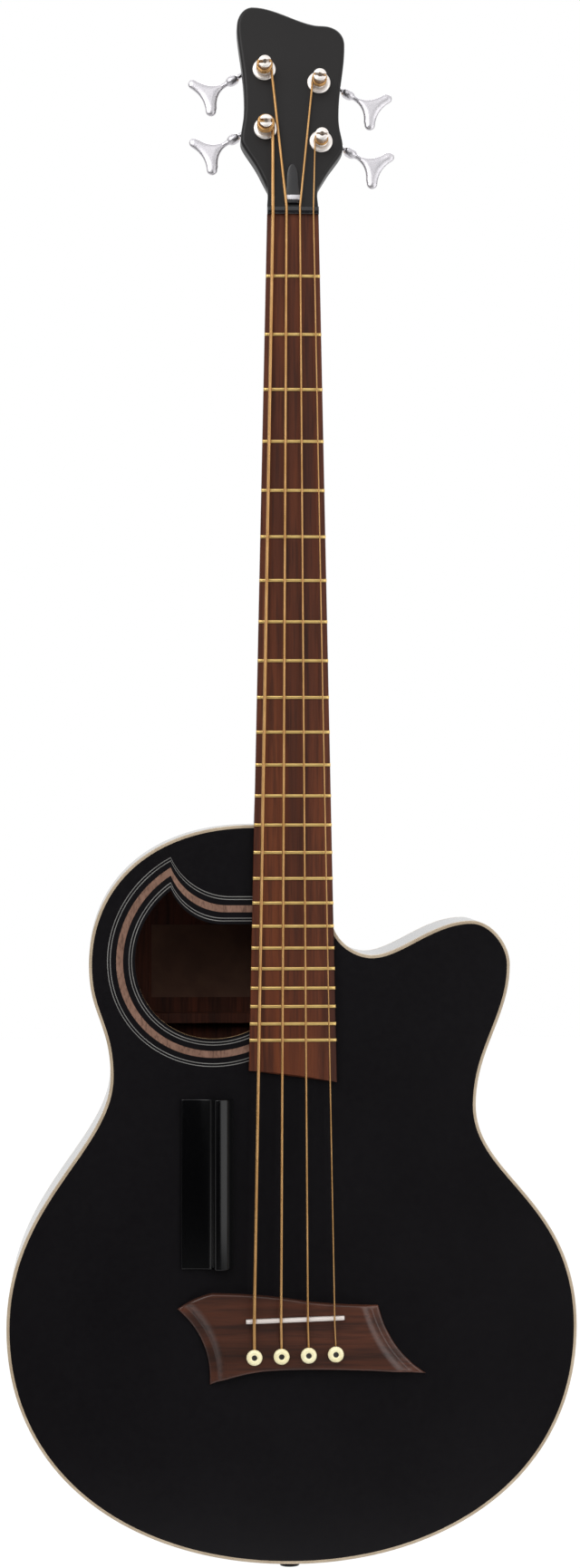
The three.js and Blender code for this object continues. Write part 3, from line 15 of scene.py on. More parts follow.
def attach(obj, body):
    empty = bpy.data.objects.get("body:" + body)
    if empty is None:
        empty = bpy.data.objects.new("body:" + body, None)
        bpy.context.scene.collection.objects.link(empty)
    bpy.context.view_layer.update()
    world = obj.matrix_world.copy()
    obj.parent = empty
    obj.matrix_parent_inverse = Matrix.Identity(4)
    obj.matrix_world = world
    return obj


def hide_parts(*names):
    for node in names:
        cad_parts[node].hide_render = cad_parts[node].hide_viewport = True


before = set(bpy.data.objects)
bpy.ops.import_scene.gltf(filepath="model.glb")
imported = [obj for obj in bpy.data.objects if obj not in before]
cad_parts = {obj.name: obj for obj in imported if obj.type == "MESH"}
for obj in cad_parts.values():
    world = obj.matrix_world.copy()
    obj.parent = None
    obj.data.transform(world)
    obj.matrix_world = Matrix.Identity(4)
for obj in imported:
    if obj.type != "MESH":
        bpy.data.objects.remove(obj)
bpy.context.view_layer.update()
scene = bpy.context.scene

ROOT = "instrument"

# For each string: its side, the place of its post on the headstock, its gauge, its rank from the middle
Line = namedtuple("Line", "side x v gauge rank")
LINES = {
    "e": Line(-1, -20.9, 65.8, 2.67, -1.5),
    "a": Line(-1, -21.5, 115.3, 2.16, -0.5),
    "d": Line(1, 21.8, 104.6, 1.65, 0.5),
    "g": Line(1, 22.9, 55.2, 1.14, 1.5),
}

# Sizes shared with the CAD, in millimetres and radians
SEAT_GAP = 0.3
SCALE = 863.6
FRETS = 24
BODY_LENGTH = 581
BOUT = 449
DEPTH_TAIL = 98
DEPTH_NECK = 86
TOP_THICK = 3.2
BACK_THICK = 3.2
SIDE_THICK = 2.6
BINDING_WIDTH = 2.4
BINDING_HEIGHT = 5
HEEL_ROUND = 13
HOLE_TILT = radians(42)
HOLE_LONG = 68.9
HOLE_SHORT = 63.7
HOLE_DROP = 102
SCOOP_DROP = 78
ROSETTE_WIDTH = 22
BOARD_EDGE = 4.8
BOARD_CAMBER = 1.3
BOARD_SLANT = 9.2
BRIDGE_HEIGHT = 8.5
BRIDGE_SPAN = 196
BRIDGE_X = 1.5
SCALLOP_WIDTH = 9.5
SADDLE_LENGTH = 77
SADDLE_HALF = 1.7
SADDLE_SLANT = 2.6
SADDLE_TOP = 12.4
SADDLE_SPACING = 21
PIN_SPACING = 21.3
PIN_DROP = 28.4
PIN_HOLE = 5
NUT_LENGTH = 6
NUT_TOP = 8.6
NUT_SLOT = 7.9
NUT_SPACING = 10.6
HEAD_TILT = radians(12)
HEAD_THICK = 16
HEAD_LENGTH = 169
HEEL_DEPTH = 62
HEEL_LENGTH = 66
POST_RADIUS = 4
BUSHING_BORE = 6.7
NOTCH_PLAY = 0.12
CHANNEL_PLAY = 0.35
BALL_RADIUS = 3.1
BALL_Z = -10.8
KEY_ANGLE = radians(31.5)
GEAR_MODULE = 0.9
PRESSURE_ANGLE = radians(20)
WORM_OFFSET = 12.6
WORM_W = -22.82
WORM_PITCH = pi * GEAR_MODULE
WORM_RADIUS = 3.6
WORM_OUTER = 4.32
WORM_CORE = 2.565
WORM_HALF = 4.24
LUG_GAP = 1.8
LUG_THICK = 2
LUG_REACH = 4.3
LUG_AT = WORM_HALF + LUG_GAP
PLATE_FRONT = -HEAD_THICK - SEAT_GAP
PLATE_BACK = PLATE_FRONT - 1.6


def shift(x, y, z=0):
    """A move given in millimetres, for a matrix in metres."""
    return Matrix.Translation((x / 1000, y / 1000, z / 1000))


MM = Matrix.Scale(0.001, 4)
QUARTER_X, QUARTER_Y = (Matrix.Rotation(radians(90), 4, axis) for axis in "XY")
HALF_X = Matrix.Rotation(pi, 4, "X")
INSTRUMENT = shift(0, -9, -14) @ QUARTER_X
HEAD = INSTRUMENT @ shift(0, NUT_LENGTH) @ Matrix.Rotation(-HEAD_TILT, 4, "X")
# The same step from the headstock's frame to the instrument's, in millimetres
HEAD_TURN = Matrix.Translation((0, NUT_LENGTH, 0)) @ Matrix.Rotation(-HEAD_TILT, 4, "X")


def lerp(a, b, share):
    return a + (b - a) * share


def parts(count):
    """Shares from 0 to 1 in equal steps."""
    return [k / count for k in range(count + 1)]


def fret_y(n):
    return -SCALE * (1 - 2 ** (-n / 12))


def board_half(y):
    return (40.4 - 0.0425 * y) / 2


BODY_TOP = fret_y(14)
TAIL = BODY_TOP - BODY_LENGTH
BOARD_END = fret_y(FRETS) - 24
SADDLE_Y = -SCALE - 3


def depth_at(y):
    return lerp(DEPTH_TAIL, DEPTH_NECK, (y - TAIL) / BODY_LENGTH)


def down(share):
    """The y at a share of the body's length below its upper end."""
    return BODY_TOP - share * BODY_LENGTH


def board_top(x, y):
    return BOARD_EDGE + BOARD_CAMBER * (1 - (x / board_half(y)) ** 2)


# Meshes
class Shape:
    """Vertices, faces and a material index for each face."""

    def __init__(self, verts=(), faces=()):
        self.verts = [Vector(v) for v in verts]
        self.faces = list(faces)
        self.mats = [0] * len(self.faces)

    def join(self, other, matrix=None):
        start = len(self.verts)
        self.verts += [matrix @ v if matrix else v for v in other.verts]
        self.faces += [[start + i for i in face] for face in other.faces]
        self.mats += other.mats
        return self

    def warp(self, change):
        self.verts = [Vector(change(v)) for v in self.verts]
        return self


def mesh_of(name, shape, matrix, weld=0):
    """A mesh with its normals out; points nearer than weld are joined."""
    mesh = bpy.data.meshes.new(name)
    whole = matrix @ MM
    mesh.from_pydata([whole @ v for v in shape.verts], [], shape.faces)
    mesh.polygons.foreach_set("material_index", shape.mats)
    work = bmesh.new()
    work.from_mesh(mesh)
    if weld:
        bmesh.ops.remove_doubles(work, verts=work.verts, dist=weld)
    bmesh.ops.recalc_face_normals(work, faces=work.faces)
    work.to_mesh(mesh)
    work.free()
    return mesh


def soften(mesh, angle):
    """Smooth shading across edges below an angle in degrees."""
    mesh.polygons.foreach_set("use_smooth", [True] * len(mesh.polygons))
    mesh.set_sharp_from_angle(angle=radians(angle))
    mesh.update()


def add(name, data):
    """A new object in the scene."""
    obj = bpy.data.objects.new(name, data)
    scene.collection.objects.link(obj)
    return obj


def piece(name, shape, materials, replaces=(), matrix=INSTRUMENT, body=ROOT, angle=35):
    """A mesh object that is made of a shape in millimetres and rides on a body."""
    mesh = mesh_of(name, shape, matrix, weld=1e-6)
    obj = add(name, mesh)
    for finish in materials:
        mesh.materials.append(finish)
    soften(mesh, angle)
    if replaces:
        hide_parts(*replaces)
    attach(obj, body)
    return obj


def apply_modifier(obj, modifier):
    """Replaces an object's mesh by what the modifier makes of it."""
    graph = bpy.context.evaluated_depsgraph_get()
    result = bpy.data.meshes.new_from_object(obj.evaluated_get(graph))
    obj.modifiers.remove(modifier)
    old = obj.data
    obj.data = result
    bpy.data.meshes.remove(old)
    return result


def keep_flat(obj):
    """Lets large flat faces keep their own normal where they meet a rounded edge."""
    modifier = obj.modifiers.new("normals", "WEIGHTED_NORMAL")
    modifier.mode, modifier.weight, modifier.keep_sharp = "FACE_AREA", 50, True
    apply_modifier(obj, modifier)


def carve(obj, cutters, angle=35, matrix=INSTRUMENT):
    """Cuts the solids of a shape out of an object's mesh."""
    tool = add("cutter", mesh_of("cutter", cutters, matrix))
    modifier = obj.modifiers.new("carve", "BOOLEAN")
    modifier.operation, modifier.object, modifier.solver = "DIFFERENCE", tool, "EXACT"
    result = apply_modifier(obj, modifier)
    bpy.data.objects.remove(tool)
    soften(result, angle)


# Solids from rings and outlines
def bands(count, rings, closed=False):
    """Faces between rings of count points each, as indexes."""
    faces = []
    for i in range(rings if closed else rings - 1):
        a, b = i * count, (i + 1) % rings * count
        faces += [[a + j, a + (j + 1) % count, b + (j + 1) % count, b + j] for j in range(count)]
    return faces


def skin(rings, closed=False):
    """Faces between rings, with one at each end unless the rings close up."""
    count = len(rings[0])
    faces = bands(count, len(rings), closed)
    if not closed:
        last = (len(rings) - 1) * count
        faces += [list(range(count))[::-1], [last + j for j in range(count)]]
    return Shape([p for ring in rings for p in ring], faces)


def arc(x, y, radius, start, turn, steps):
    angles = (start + turn * k / steps for k in range(steps + 1))
    return [(x + radius * cos(t), y + radius * sin(t)) for t in angles]


def circle(x, y, radius, sides=24):
    return arc(x, y, radius, 0, 2 * pi, sides)[:-1]


def rectangle(left, low, right, high):
    return [(left, low), (right, low), (right, high), (left, high)]


def lathe(profile, sides, mats=None):
    """A revolve about z of [radius, height] pairs; a row's material is that of the span above it."""
    verts, rings = [], []
    for radius, height in profile:
        ring = [(x, y, height) for x, y in circle(0, 0, radius, sides)] if radius else [(0, 0, height)]
        rings.append(range(len(verts), len(verts) + len(ring)))
        verts += ring
    faces, kinds = [], []
    for i, (low, high) in enumerate(zip(rings, rings[1:])):
        for j in range(sides):
            k = (j + 1) % sides
            ids = (low[j % len(low)], low[k % len(low)], high[k % len(high)], high[j % len(high)])
            face = list(dict.fromkeys(ids))
            if len(face) > 2:
                faces.append(face)
                kinds.append(mats[i] if mats else 0)
    shape = Shape(verts, faces)
    shape.mats = kinds
    return shape


def tube(points, radius, sides):
    """A round tube along points, with its rings turned as little as they can be."""
    points = [Vector(p) for p in points]
    normal = Vector((1, 0, 0))
    rings = []
    for i, point in enumerate(points):
        ahead = (points[min(i + 1, len(points) - 1)] - points[max(i - 1, 0)]).normalized()
        normal = (normal - ahead * normal.dot(ahead)).normalized()
        across = ahead.cross(normal)
        turns = (2 * pi * j / sides for j in range(sides))
        rings.append([point + radius * (normal * cos(t) + across * sin(t)) for t in turns])
    return skin(rings)


def rounded_path(points, reach, steps):
    """The same path with each inner corner rounded over a reach."""
    points = [Vector(p) for p in points]
    path = [points[0]]
    for before, corner, after in zip(points, points[1:], points[2:]):
        start = corner + (before - corner).normalized() * min(reach, (before - corner).length / 2.1)
        end = corner + (after - corner).normalized() * min(reach, (after - corner).length / 2.1)
        for t in parts(steps):
            path.append(start * (1 - t) ** 2 + corner * 2 * t * (1 - t) + end * t ** 2)
    return path + [points[-1]]


def area(loop):
    return sum(a[0] * b[1] - b[0] * a[1] for a, b in zip(loop, loop[1:] + loop[:1])) / 2


def inset(loop, distance):
    """A closed loop drawn in by a distance, or let out by a negative one."""
    turn = 1 if area(loop) > 0 else -1
    result = []
    for i, point in enumerate(loop):
        p = Vector(point)
        edge_in = (p - Vector(loop[i - 1])).normalized()
        edge_out = (Vector(loop[(i + 1) % len(loop)]) - p).normalized()
        side = Vector((-edge_in.y - edge_out.y, edge_in.x + edge_out.x)).normalized()
        reach = distance / sqrt(max((1 + edge_in.dot(edge_out)) / 2, 0.05))
        result.append(tuple(p + side * turn * reach))
    return result


def crossings(loop, y):
    """The x of each place where a closed loop crosses a height."""
    return [
        (bx - ax) * (y - ay) / (by - ay) + ax
        for (ax, ay), (bx, by) in zip(loop, loop[1:] + loop[:1]) if (ay > y) != (by > y)
    ]


def inside(point, loop):
    return sum(point[0] < x for x in crossings(loop, point[1])) % 2 == 1


def edge_distance(point, loop):
    p, best = Vector(point), 1e9
    for a, b in zip(loop, loop[1:] + loop[:1]):
        a, b = Vector(a), Vector(b)
        along = b - a
        share = max(0, min(1, (p - a).dot(along) / max(along.length_squared, 1e-12)))
        best = min(best, (p - a - along * share).length)
    return best


def triangulate(loops, extra):
    """Triangles between an outer loop and its holes, through extra points, as indexes in order."""
    points = [Vector(p) for loop in loops for p in loop] + [Vector(p) for p in extra]
    edges, start = [], 0
    for loop in loops:
        count = len(loop)
        edges += [(start + j, start + (j + 1) % count) for j in range(count)]
        start += count
    found, _, faces, origins, _, _ = delaunay_2d_cdt(points, edges, [], 0, 1e-7)
    same = [
        origins[i][0] if origins[i] else min(range(len(points)), key=lambda k: (points[k] - place).length)
        for i, place in enumerate(found)
    ]
    kept = []
    for face in faces:
        ids = list(dict.fromkeys(same[i] for i in face))
        if len(ids) < 3:
            continue
        centre = sum((points[i] for i in ids), Vector((0, 0))) / len(ids)
        if inside(centre, loops[0]) and not any(inside(centre, hole) for hole in loops[1:]):
            kept.append(ids)
    return kept


def edge_rows(low, high, top_round, bottom_round, steps):
    """Rows of [inset, height] up the rim of a plate with rounded edges."""
    turns = [pi / 2 * k / steps for k in range(steps + 1)]
    rows = [(bottom_round * (1 - sin(t)), low + bottom_round * (1 - cos(t))) for t in turns]
    rows = rows if bottom_round else [(0, low)]
    if not top_round:
        return rows + [(0, high)]
    return rows + [(top_round * (1 - cos(t)), high - top_round * (1 - sin(t))) for t in turns]


def slab(
    outline, low, high, top_round=0, bottom_round=0, holes=(), extra=(), top=None, steps=4, mats=(0, 0, 0),
):
    """A plate on an outline, with rounded edges and straight holes.

    The top face runs through extra points and, if top is given, at that height. The materials
    are those of the rim, the top and the underside.
    """
    if area(outline) < 0:
        outline = outline[::-1]
    holes = [hole if area(hole) > 0 else hole[::-1] for hole in holes]
    count = len(outline)

    def lifted(loop, z):
        rises = top is not None and z >= (low + high) / 2
        return [(x, y, z + top(x, y) - high if rises else z) for x, y in loop]

    rows = edge_rows(low, high, top_round, bottom_round, steps)
    verts = []
    for distance, z in rows:
        verts += lifted(inset(outline, distance) if distance else outline, z)
    faces = bands(count, len(rows))
    upper_ids = list(range(len(verts) - count, len(verts)))
    lower_ids = list(range(count))
    for hole in holes:
        start, size = len(verts), len(hole)
        verts += lifted(hole, low) + lifted(hole, high)
        for j in range(size):
            a, b = start + j, start + (j + 1) % size
            faces.append([b, a, a + size, b + size])
        lower_ids += range(start, start + size)
        upper_ids += range(start + size, start + 2 * size)
    kinds = [mats[0]] * len(faces)
    upper_ids += range(len(verts), len(verts) + len(extra))
    verts += lifted(extra, high)
    for ids, inner, kind, step in ((upper_ids, extra, mats[1], 1), (lower_ids, (), mats[2], -1)):
        loop = [tuple(verts[i][:2]) for i in ids[:count]]
        whole = triangulate([loop, *holes], inner) if holes or inner else [range(count)]
        faces += [[ids[i] for i in face][::step] for face in whole]
        kinds += [kind] * len(whole)
    shape = Shape(verts, faces)
    shape.mats = kinds
    return shape


def rounded_box(low, high, radius):
    return slab(rectangle(*low[:2], *high[:2]), low[2], high[2], radius, radius, steps=3)


def bezier(points, steps):
    """Points after the first along a Bezier curve of any order."""
    result = []
    for t in parts(steps)[1:]:
        row = [Vector(p) for p in points]
        while len(row) > 1:
            row = [a.lerp(b, t) for a, b in zip(row, row[1:])]
        result.append(tuple(row[0]))
    return result


def bend(start, end, axes, shares, steps):
    """A curve that leaves and arrives along x or y, by shares of the span."""
    dx, dy = end[0] - start[0], end[1] - start[1]
    first, last = ((dx * share, 0) if axis == "x" else (0, dy * share) for axis, share in zip(axes, shares))
    handles = [start, (start[0] + first[0], start[1] + first[1]), (end[0] - last[0], end[1] - last[1]), end]
    return bezier(handles, steps)


def outline_from(start, spans, fine=1):
    """A closed loop from rows of end, axes, shares and steps; a row of an end alone is straight."""
    loop, at = [start], start
    for end, *way in spans:
        if way:
            axes, shares, steps = way
            loop += bend(at, end, axes, shares, steps * fine)
        else:
            loop.append(end)
        at = end
    if (Vector(loop[0]) - Vector(loop[-1])).length < 1e-6:
        loop.pop()
    return loop


# Materials
def fill(tree, made, inputs):
    """Sets a node's inputs; one that is given a socket is linked to it."""
    for key, value in inputs.items():
        if isinstance(value, bpy.types.NodeSocket):
            tree.links.new(value, made.inputs[key])
        else:
            made.inputs[key].default_value = value


def node(tree, kind, inputs=None, **settings):
    made = tree.nodes.new("ShaderNode" + kind)
    for key, value in settings.items():
        setattr(made, key, value)
    fill(tree, made, inputs or {})
    return made


def material(name, rough, metal=0.0, coat=0.0, coat_rough=0.1, specular=0.5):
    mat = bpy.data.materials.new(name)
    mat.use_nodes = True
    shader = mat.node_tree.nodes["Principled BSDF"]
    fill(mat.node_tree, shader, {
        "Roughness": rough, "Metallic": metal, "Coat Weight": coat, "Coat Roughness": coat_rough,
        "Specular IOR Level": specular,
    })
    return mat, mat.node_tree, shader


def place_texture(tree, scale=(1, 1, 1)):
    """Object coordinates stretched by a scale for each axis."""
    coords = node(tree, "TexCoord")
    return node(tree, "Mapping", {"Scale": scale, "Vector": coords.outputs["Object"]}).outputs["Vector"]


def noise(tree, vector, scale, detail, rough=0.5):
    inputs = {"Scale": scale, "Detail": detail, "Roughness": rough, "Vector": vector}
    return node(tree, "TexNoise", inputs).outputs["Fac"]


def ramp(tree, factor, stops):
    made = node(tree, "ValToRGB", {"Fac": factor})
    elements = made.color_ramp.elements
    while len(elements) < len(stops):
        elements.new(0.5)
    for element, (place, color) in zip(elements, stops):
        element.position, element.color = place, (*color, 1)
    return made.outputs["Color"]


def greys(tree, factor, stops):
    return ramp(tree, factor, [(place, (grey,) * 3) for place, grey in stops])


def blend(tree, kind, share, first, second):
    inputs = {0: share, 6: first, 7: second}
    return node(tree, "Mix", inputs, data_type="RGBA", blend_type=kind).outputs[2]


def calculate(tree, operation, first, second):
    return node(tree, "Math", {0: first, 1: second}, operation=operation).outputs[0]


def bump(tree, height, distance, strength):
    inputs = {"Height": height, "Distance": distance, "Strength": strength}
    return node(tree, "Bump", inputs).outputs["Normal"]


def remap(tree, value, low, high, side="To"):
    inputs = {f"{side} Min": low, f"{side} Max": high, "Value": value}
    return node(tree, "MapRange", inputs).outputs["Result"]


def srgb(color):
    """A colour out of 255 as the linear one that shaders take."""
    return tuple(c / 255 / 12.92 if c / 255 <= 0.04045 else ((c / 255 + 0.055) / 1.055) ** 2.4 for c in color)


def lacquer(name, dark, light, rough, spread=0.06, coat=0.0, specular=0.5):
    """Sprayed colour over wood: cloudy tone, a faint grain under it and uneven sheen."""
    mat, tree, shader = material(name, rough, coat=coat, coat_rough=0.06, specular=specular)
    place = place_texture(tree)
    along = noise(tree, place_texture(tree, (700, 700, 16)), 1, 3)
    fill(tree, shader, {
        "Base Color": ramp(tree, noise(tree, place, 9, 5), [(0.3, srgb(dark)), (0.75, srgb(light))]),
        "Roughness": remap(tree, noise(tree, place, 260, 3), rough - spread, rough + spread),
        "Normal": bump(tree, along, 0.00004, 0.5),
    })
    return mat


def wood(name, dark, mid, light, rough, stretch=(55, 55, 2.2), pores=0.00012, specular=0.3):
    """Open-grained wood: long streaks with darker pores, broader bands and a bump along the grain."""
    mat, tree, shader = material(name, rough, specular=specular)
    bands_of_grain = noise(tree, place_texture(tree, stretch), 1, 6, 0.62)
    streaks = noise(tree, place_texture(tree, tuple(s * 7 for s in stretch)), 1, 3, 0.6)
    base = ramp(tree, bands_of_grain, [(0.3, srgb(dark)), (0.5, srgb(mid)), (0.72, srgb(light))])
    pore = ramp(tree, streaks, [(0.36, (0.45, 0.42, 0.4)), (0.52, (1, 1, 1))])
    fill(tree, shader, {
        "Base Color": blend(tree, "MULTIPLY", 0.75, base, pore),
        "Roughness": remap(tree, streaks, rough + 0.1, rough - 0.08),
        "Normal": bump(tree, streaks, pores, 0.6),
    })
    return mat


def metal(name, color, tint, rough, spread=0.05):
    """Plated or drawn metal with an uneven polish and the faintest scratches."""
    mat, tree, shader = material(name, rough, 1.0)
    marks = noise(tree, place_texture(tree, (900, 90, 90)), 1, 4)
    tone = noise(tree, place_texture(tree), 120, 4)
    fill(tree, shader, {
        "Base Color": ramp(tree, tone, [(0.3, srgb(color)), (0.8, srgb(tint))]),
        "Roughness": remap(tree, marks, max(rough - spread, 0.02), rough + spread),
        "Normal": bump(tree, marks, 0.00001, 0.4),
    })
    return mat


def plastic(name, color, light, rough, coat=0.0):
    """Moulded plastic, bone or paper: a cloudy tone under a fine even grain."""
    mat, tree, shader = material(name, rough, coat=coat)
    place = place_texture(tree)
    fine = noise(tree, place, 1400, 2)
    fill(tree, shader, {
        "Base Color": ramp(tree, noise(tree, place, 60, 4), [(0.35, srgb(color)), (0.7, srgb(light))]),
        "Roughness": remap(tree, fine, rough - 0.05, rough + 0.07),
        "Normal": bump(tree, fine, 0.00002, 0.4),
    })
    return mat


def wound(name, dark, light):
    """Bronze wire wound round a core: a fine ripple along the string, with painted shade darkening the crevice between
    turns.
    """
    mat, tree, shader = material(name, 0.34, 1.0)
    place = place_texture(tree)
    inputs = {"Scale": 520.0, "Distortion": 0.0, "Vector": place}
    wave = node(tree, "TexWave", inputs, wave_type="BANDS", bands_direction="Z").outputs["Fac"]
    base = ramp(tree, noise(tree, place, 45, 3), [(0.3, srgb(dark)), (0.7, srgb(light))])
    # The ripple's troughs are darkened: painted shade in the crevices between the turns.
    gap_shade = ramp(tree, wave, [(0.0, (0.42, 0.36, 0.3)), (0.35, (1, 1, 1))])
    fill(tree, shader, {
        "Base Color": blend(tree, "MULTIPLY", 0.7, base, gap_shade),
        "Normal": bump(tree, wave, 0.00008, 0.6),
    })
    return mat


BLACK_TOP = lacquer("black_satin", (9, 7, 10), (14, 12, 15), 0.36, specular=0.2)
BLACK_GLOSS = lacquer("black_gloss", (9, 8, 10), (14, 13, 15), 0.14, 0.03, coat=0.2, specular=0.36)
# The thumb rest's lacquer is darker than the body's black paint, as painted shade for its scooped face.
BLACK_REST_SHADED = lacquer("rest_gloss_painted_shade", (1, 1, 2), (3, 3, 4), 0.2, 0.03, specular=0.36)
BLACK_HEAD = lacquer("head_satin", (21, 19, 19), (29, 27, 27), 0.4, specular=0.29)
BINDING = plastic("cream_binding", (170, 152, 128), (188, 171, 147), 0.36, 0.2)
LINE_GREY = plastic("rosette_grey", (112, 111, 108), (130, 129, 126), 0.4)
ROSETTE_WOOD = wood(
    "rosette_wood", (104, 76, 62), (126, 95, 80), (142, 110, 94), 0.5, (90, 90, 30), 0.00005,
)
# Two copies of one interior wood: the sides, linings and blocks get the lighter one. The back's inside and its braces
# get a darker one, which is painted shade.
INNER_WOOD = wood("inner_wood", (84, 38, 18), (120, 60, 30), (146, 78, 40), 0.7, (60, 60, 3))
INNER_BACK_SHADED = wood("inner_back_painted_shade", (50, 22, 11), (74, 34, 17), (96, 45, 24), 0.7, (60, 60, 3))
SPRUCE = wood("spruce", (176, 140, 96), (200, 166, 118), (214, 184, 140), 0.7, (160, 160, 2), 0.00004)
BOARD_WOOD = wood("board_wood", (57, 25, 12), (89, 42, 20), (122, 64, 33), 0.5)
BRIDGE_WOOD = wood("bridge_wood", (42, 22, 14), (68, 37, 25), (90, 50, 34), 0.34, (3.2, 60, 60), specular=0.5)
BONE = plastic("saddle_bone", (212, 202, 196), (228, 220, 214), 0.3, 0.2)
PIN_CREAM = plastic("pin_cream", (250, 238, 188), (253, 246, 206), 0.3, 0.3)
PIN_DOT = plastic("pin_dot", (40, 36, 34), (56, 52, 50), 0.35)
BLACK_PLASTIC = plastic("black_plastic", (16, 15, 18), (26, 25, 28), 0.24, 0.3)
CHROME = metal("chrome", (232, 230, 232), (214, 212, 216), 0.1, 0.03)
KEY_CHROME = metal("key_chrome", (216, 213, 217), (200, 198, 203), 0.38, 0.04)
SATIN_CHROME = metal("satin_chrome", (248, 242, 237), (238, 231, 225), 0.46)
BRASS = metal("brass", (190, 150, 84), (168, 128, 70), 0.28)
FRET_WIRE = metal("fret_wire", (234, 202, 132), (216, 182, 114), 0.45)
STEEL = metal("steel", (150, 150, 154), (150, 150, 154), 0.3)
WOUND = wound("wound_bronze", (197, 151, 95), (217, 172, 116))
# The label paper is darkened to a deep brown as painted shade inside the body.
PAPER_SHADED = plastic("label_paper_painted_shade", (82, 55, 42), (94, 65, 50), 0.9)


# Body
def body_outline():
    """The body's edge from the tail round the bass side to the neck, and back down the treble side."""
    heel, bout, tail = board_half(BODY_TOP), BOUT / 2, (0, TAIL)
    return outline_from(tail, [
        ((-bout, down(0.68)), "xy", (0.544, 0.64), 11),
        ((-143, down(0.34)), "yy", (0.505, 0.287), 9),
        ((-160, down(0.1895)), "yy", (0.478, 0.445), 5),
        ((-heel, BODY_TOP), "yx", (0.57, 0.635), 8),
        ((heel - HEEL_ROUND, BODY_TOP),),
        ((heel, BODY_TOP - HEEL_ROUND), "xy", (0.55, 0.55), 3),
        ((heel, down(0.122)),),
        ((62.5, down(0.1765)), "yx", (0.6, 0.44), 5),
        ((141, down(0.13)), "xx", (0.284, 0.395), 5),
        ((171.5, down(0.1895)), "xy", (0.535, 0.45), 5),
        ((144.5, down(0.38)), "yy", (0.37, 0.4), 5),
        ((bout, down(0.68)), "yy", (0.326, 0.575), 9),
        (tail, "yx", (0.64, 0.544), 11),
    ], fine=4)


OUTLINE = body_outline()


def hole_path(grow):
    """The soundhole, let out by a distance: a tilted ellipse with a scooped upper edge."""
    long, short = HOLE_LONG + grow, HOLE_SHORT + grow
    centre = Vector((-57.2, BODY_TOP - HOLE_DROP))
    reach = hypot(long * cos(HOLE_TILT), short * sin(HOLE_TILT))
    phase = atan2(short * sin(HOLE_TILT), long * cos(HOLE_TILT))
    upper = BODY_TOP - SCOOP_DROP + grow
    end_x = -board_half(BODY_TOP - SCOOP_DROP) + 2.5

    def turn_at(x):
        return acos((x - centre.x) / reach)

    def on_ellipse(t):
        u, v = long * cos(t), short * sin(t)
        return (
            centre.x + u * cos(HOLE_TILT) - v * sin(HOLE_TILT),
            centre.y + u * sin(HOLE_TILT) + v * cos(HOLE_TILT),
        )

    first = turn_at(-95.8) - phase
    last = 2 * pi - turn_at(end_x) - phase
    apex = on_ellipse(first)
    scoop_x = -55.5 + 0.31 * grow
    dx, dy = apex[0] - scoop_x, apex[1] - upper
    radius = (dx ** 2 + dy ** 2) / (2 * dy)
    scoop, steps, round_steps = asin(-dx / radius), 20, 52
    turns = [scoop * k / steps for k in range(steps + 1)]
    path = [(end_x, upper)] + [(scoop_x - radius * sin(t), upper + radius * (1 - cos(t))) for t in turns]
    return path + [on_ellipse(lerp(first, last, share)) for share in parts(round_steps)[1:]]


def ring_sweep(profile):
    """A profile of [inset, height] swept round the body; a height may follow y."""
    rings = []
    for distance, height in profile:
        loop = inset(OUTLINE, distance) if distance else OUTLINE
        rings.append([(x, y, height(y) if callable(height) else height) for x, y in loop])
    return skin(rings, closed=True)


def build_shell():
    inner = inset(OUTLINE, BINDING_WIDTH)
    board = slab(inner, -TOP_THICK, 0, holes=[hole_path(0)], mats=(1, 0, 1))
    piece("top", board, [BLACK_TOP, SPRUCE], ["soundboard"])
    back = slab(inner, 0, 1, mats=(0, 1, 0))
    back.warp(lambda v: (v.x, v.y, lerp(-depth_at(v.y), BACK_THICK - depth_at(v.y), v.z)))
    piece("back", back, [BLACK_GLOSS, INNER_BACK_SHADED], ["back_plate"])
    low, high = (lambda y: BINDING_HEIGHT - depth_at(y)), -BINDING_HEIGHT
    walls = ring_sweep([(0, low), (0, high), (SIDE_THICK, high), (SIDE_THICK, low)])
    count = len(OUTLINE)
    walls.mats = [0] * 2 * count + [1] * count + [0] * count
    piece("sides", walls, [BLACK_GLOSS, INNER_WOOD], ["bass_side", "treble_side"])
    edge = 0.7
    trim = [
        (0, -BINDING_HEIGHT), (0, -edge), (edge * 0.3, -edge * 0.3), (edge, 0), (BINDING_WIDTH, 0),
        (BINDING_WIDTH, -BINDING_HEIGHT),
    ]
    piece("top_trim", ring_sweep(trim), [BINDING], ["top_binding"])
    trim = [(distance, lambda y, rise=-z: rise - depth_at(y)) for distance, z in trim]
    piece("back_trim", ring_sweep(trim), [BINDING], ["back_binding"])


def build_rosette():
    """A wooden ring between two pairs of lines, and the paper label on the back inside."""
    rows = [(9.4, 14.8, 1)]
    for middle in (3.7, 20.5):
        rows += [(middle - 1.4, middle - 0.75, 0), (middle + 0.75, middle + 1.4, 0)]
    shape = Shape()
    for inner, outer, mat in rows:
        shape.join(slab(hole_path(outer) + hole_path(inner)[::-1], -0.6, 0.06, mats=(mat,) * 3))
    piece("rosette_lines", shape, [LINE_GREY, ROSETTE_WOOD], ["rosette"])
    sheet = slab(rectangle(-109.8, -560.3, -22, -618.8), 0, 0.25)
    sheet.warp(lambda v: (v.x, v.y, v.z + BACK_THICK + 0.02 - depth_at(v.y)))
    piece("label", sheet, [PAPER_SHADED])


# Neck and headstock
# The heel's depth as a share of HEEL_DEPTH and its roundness, by share of its length
HEEL_ROWS = [(0, 1.12, 0.8), (0.1, 1.08, 0.8), (0.24, 0.8, 0.85), (0.42, 0.5, 0.9), (0.68, 0.34, 0.9), (1, 0.306, 0.9)]
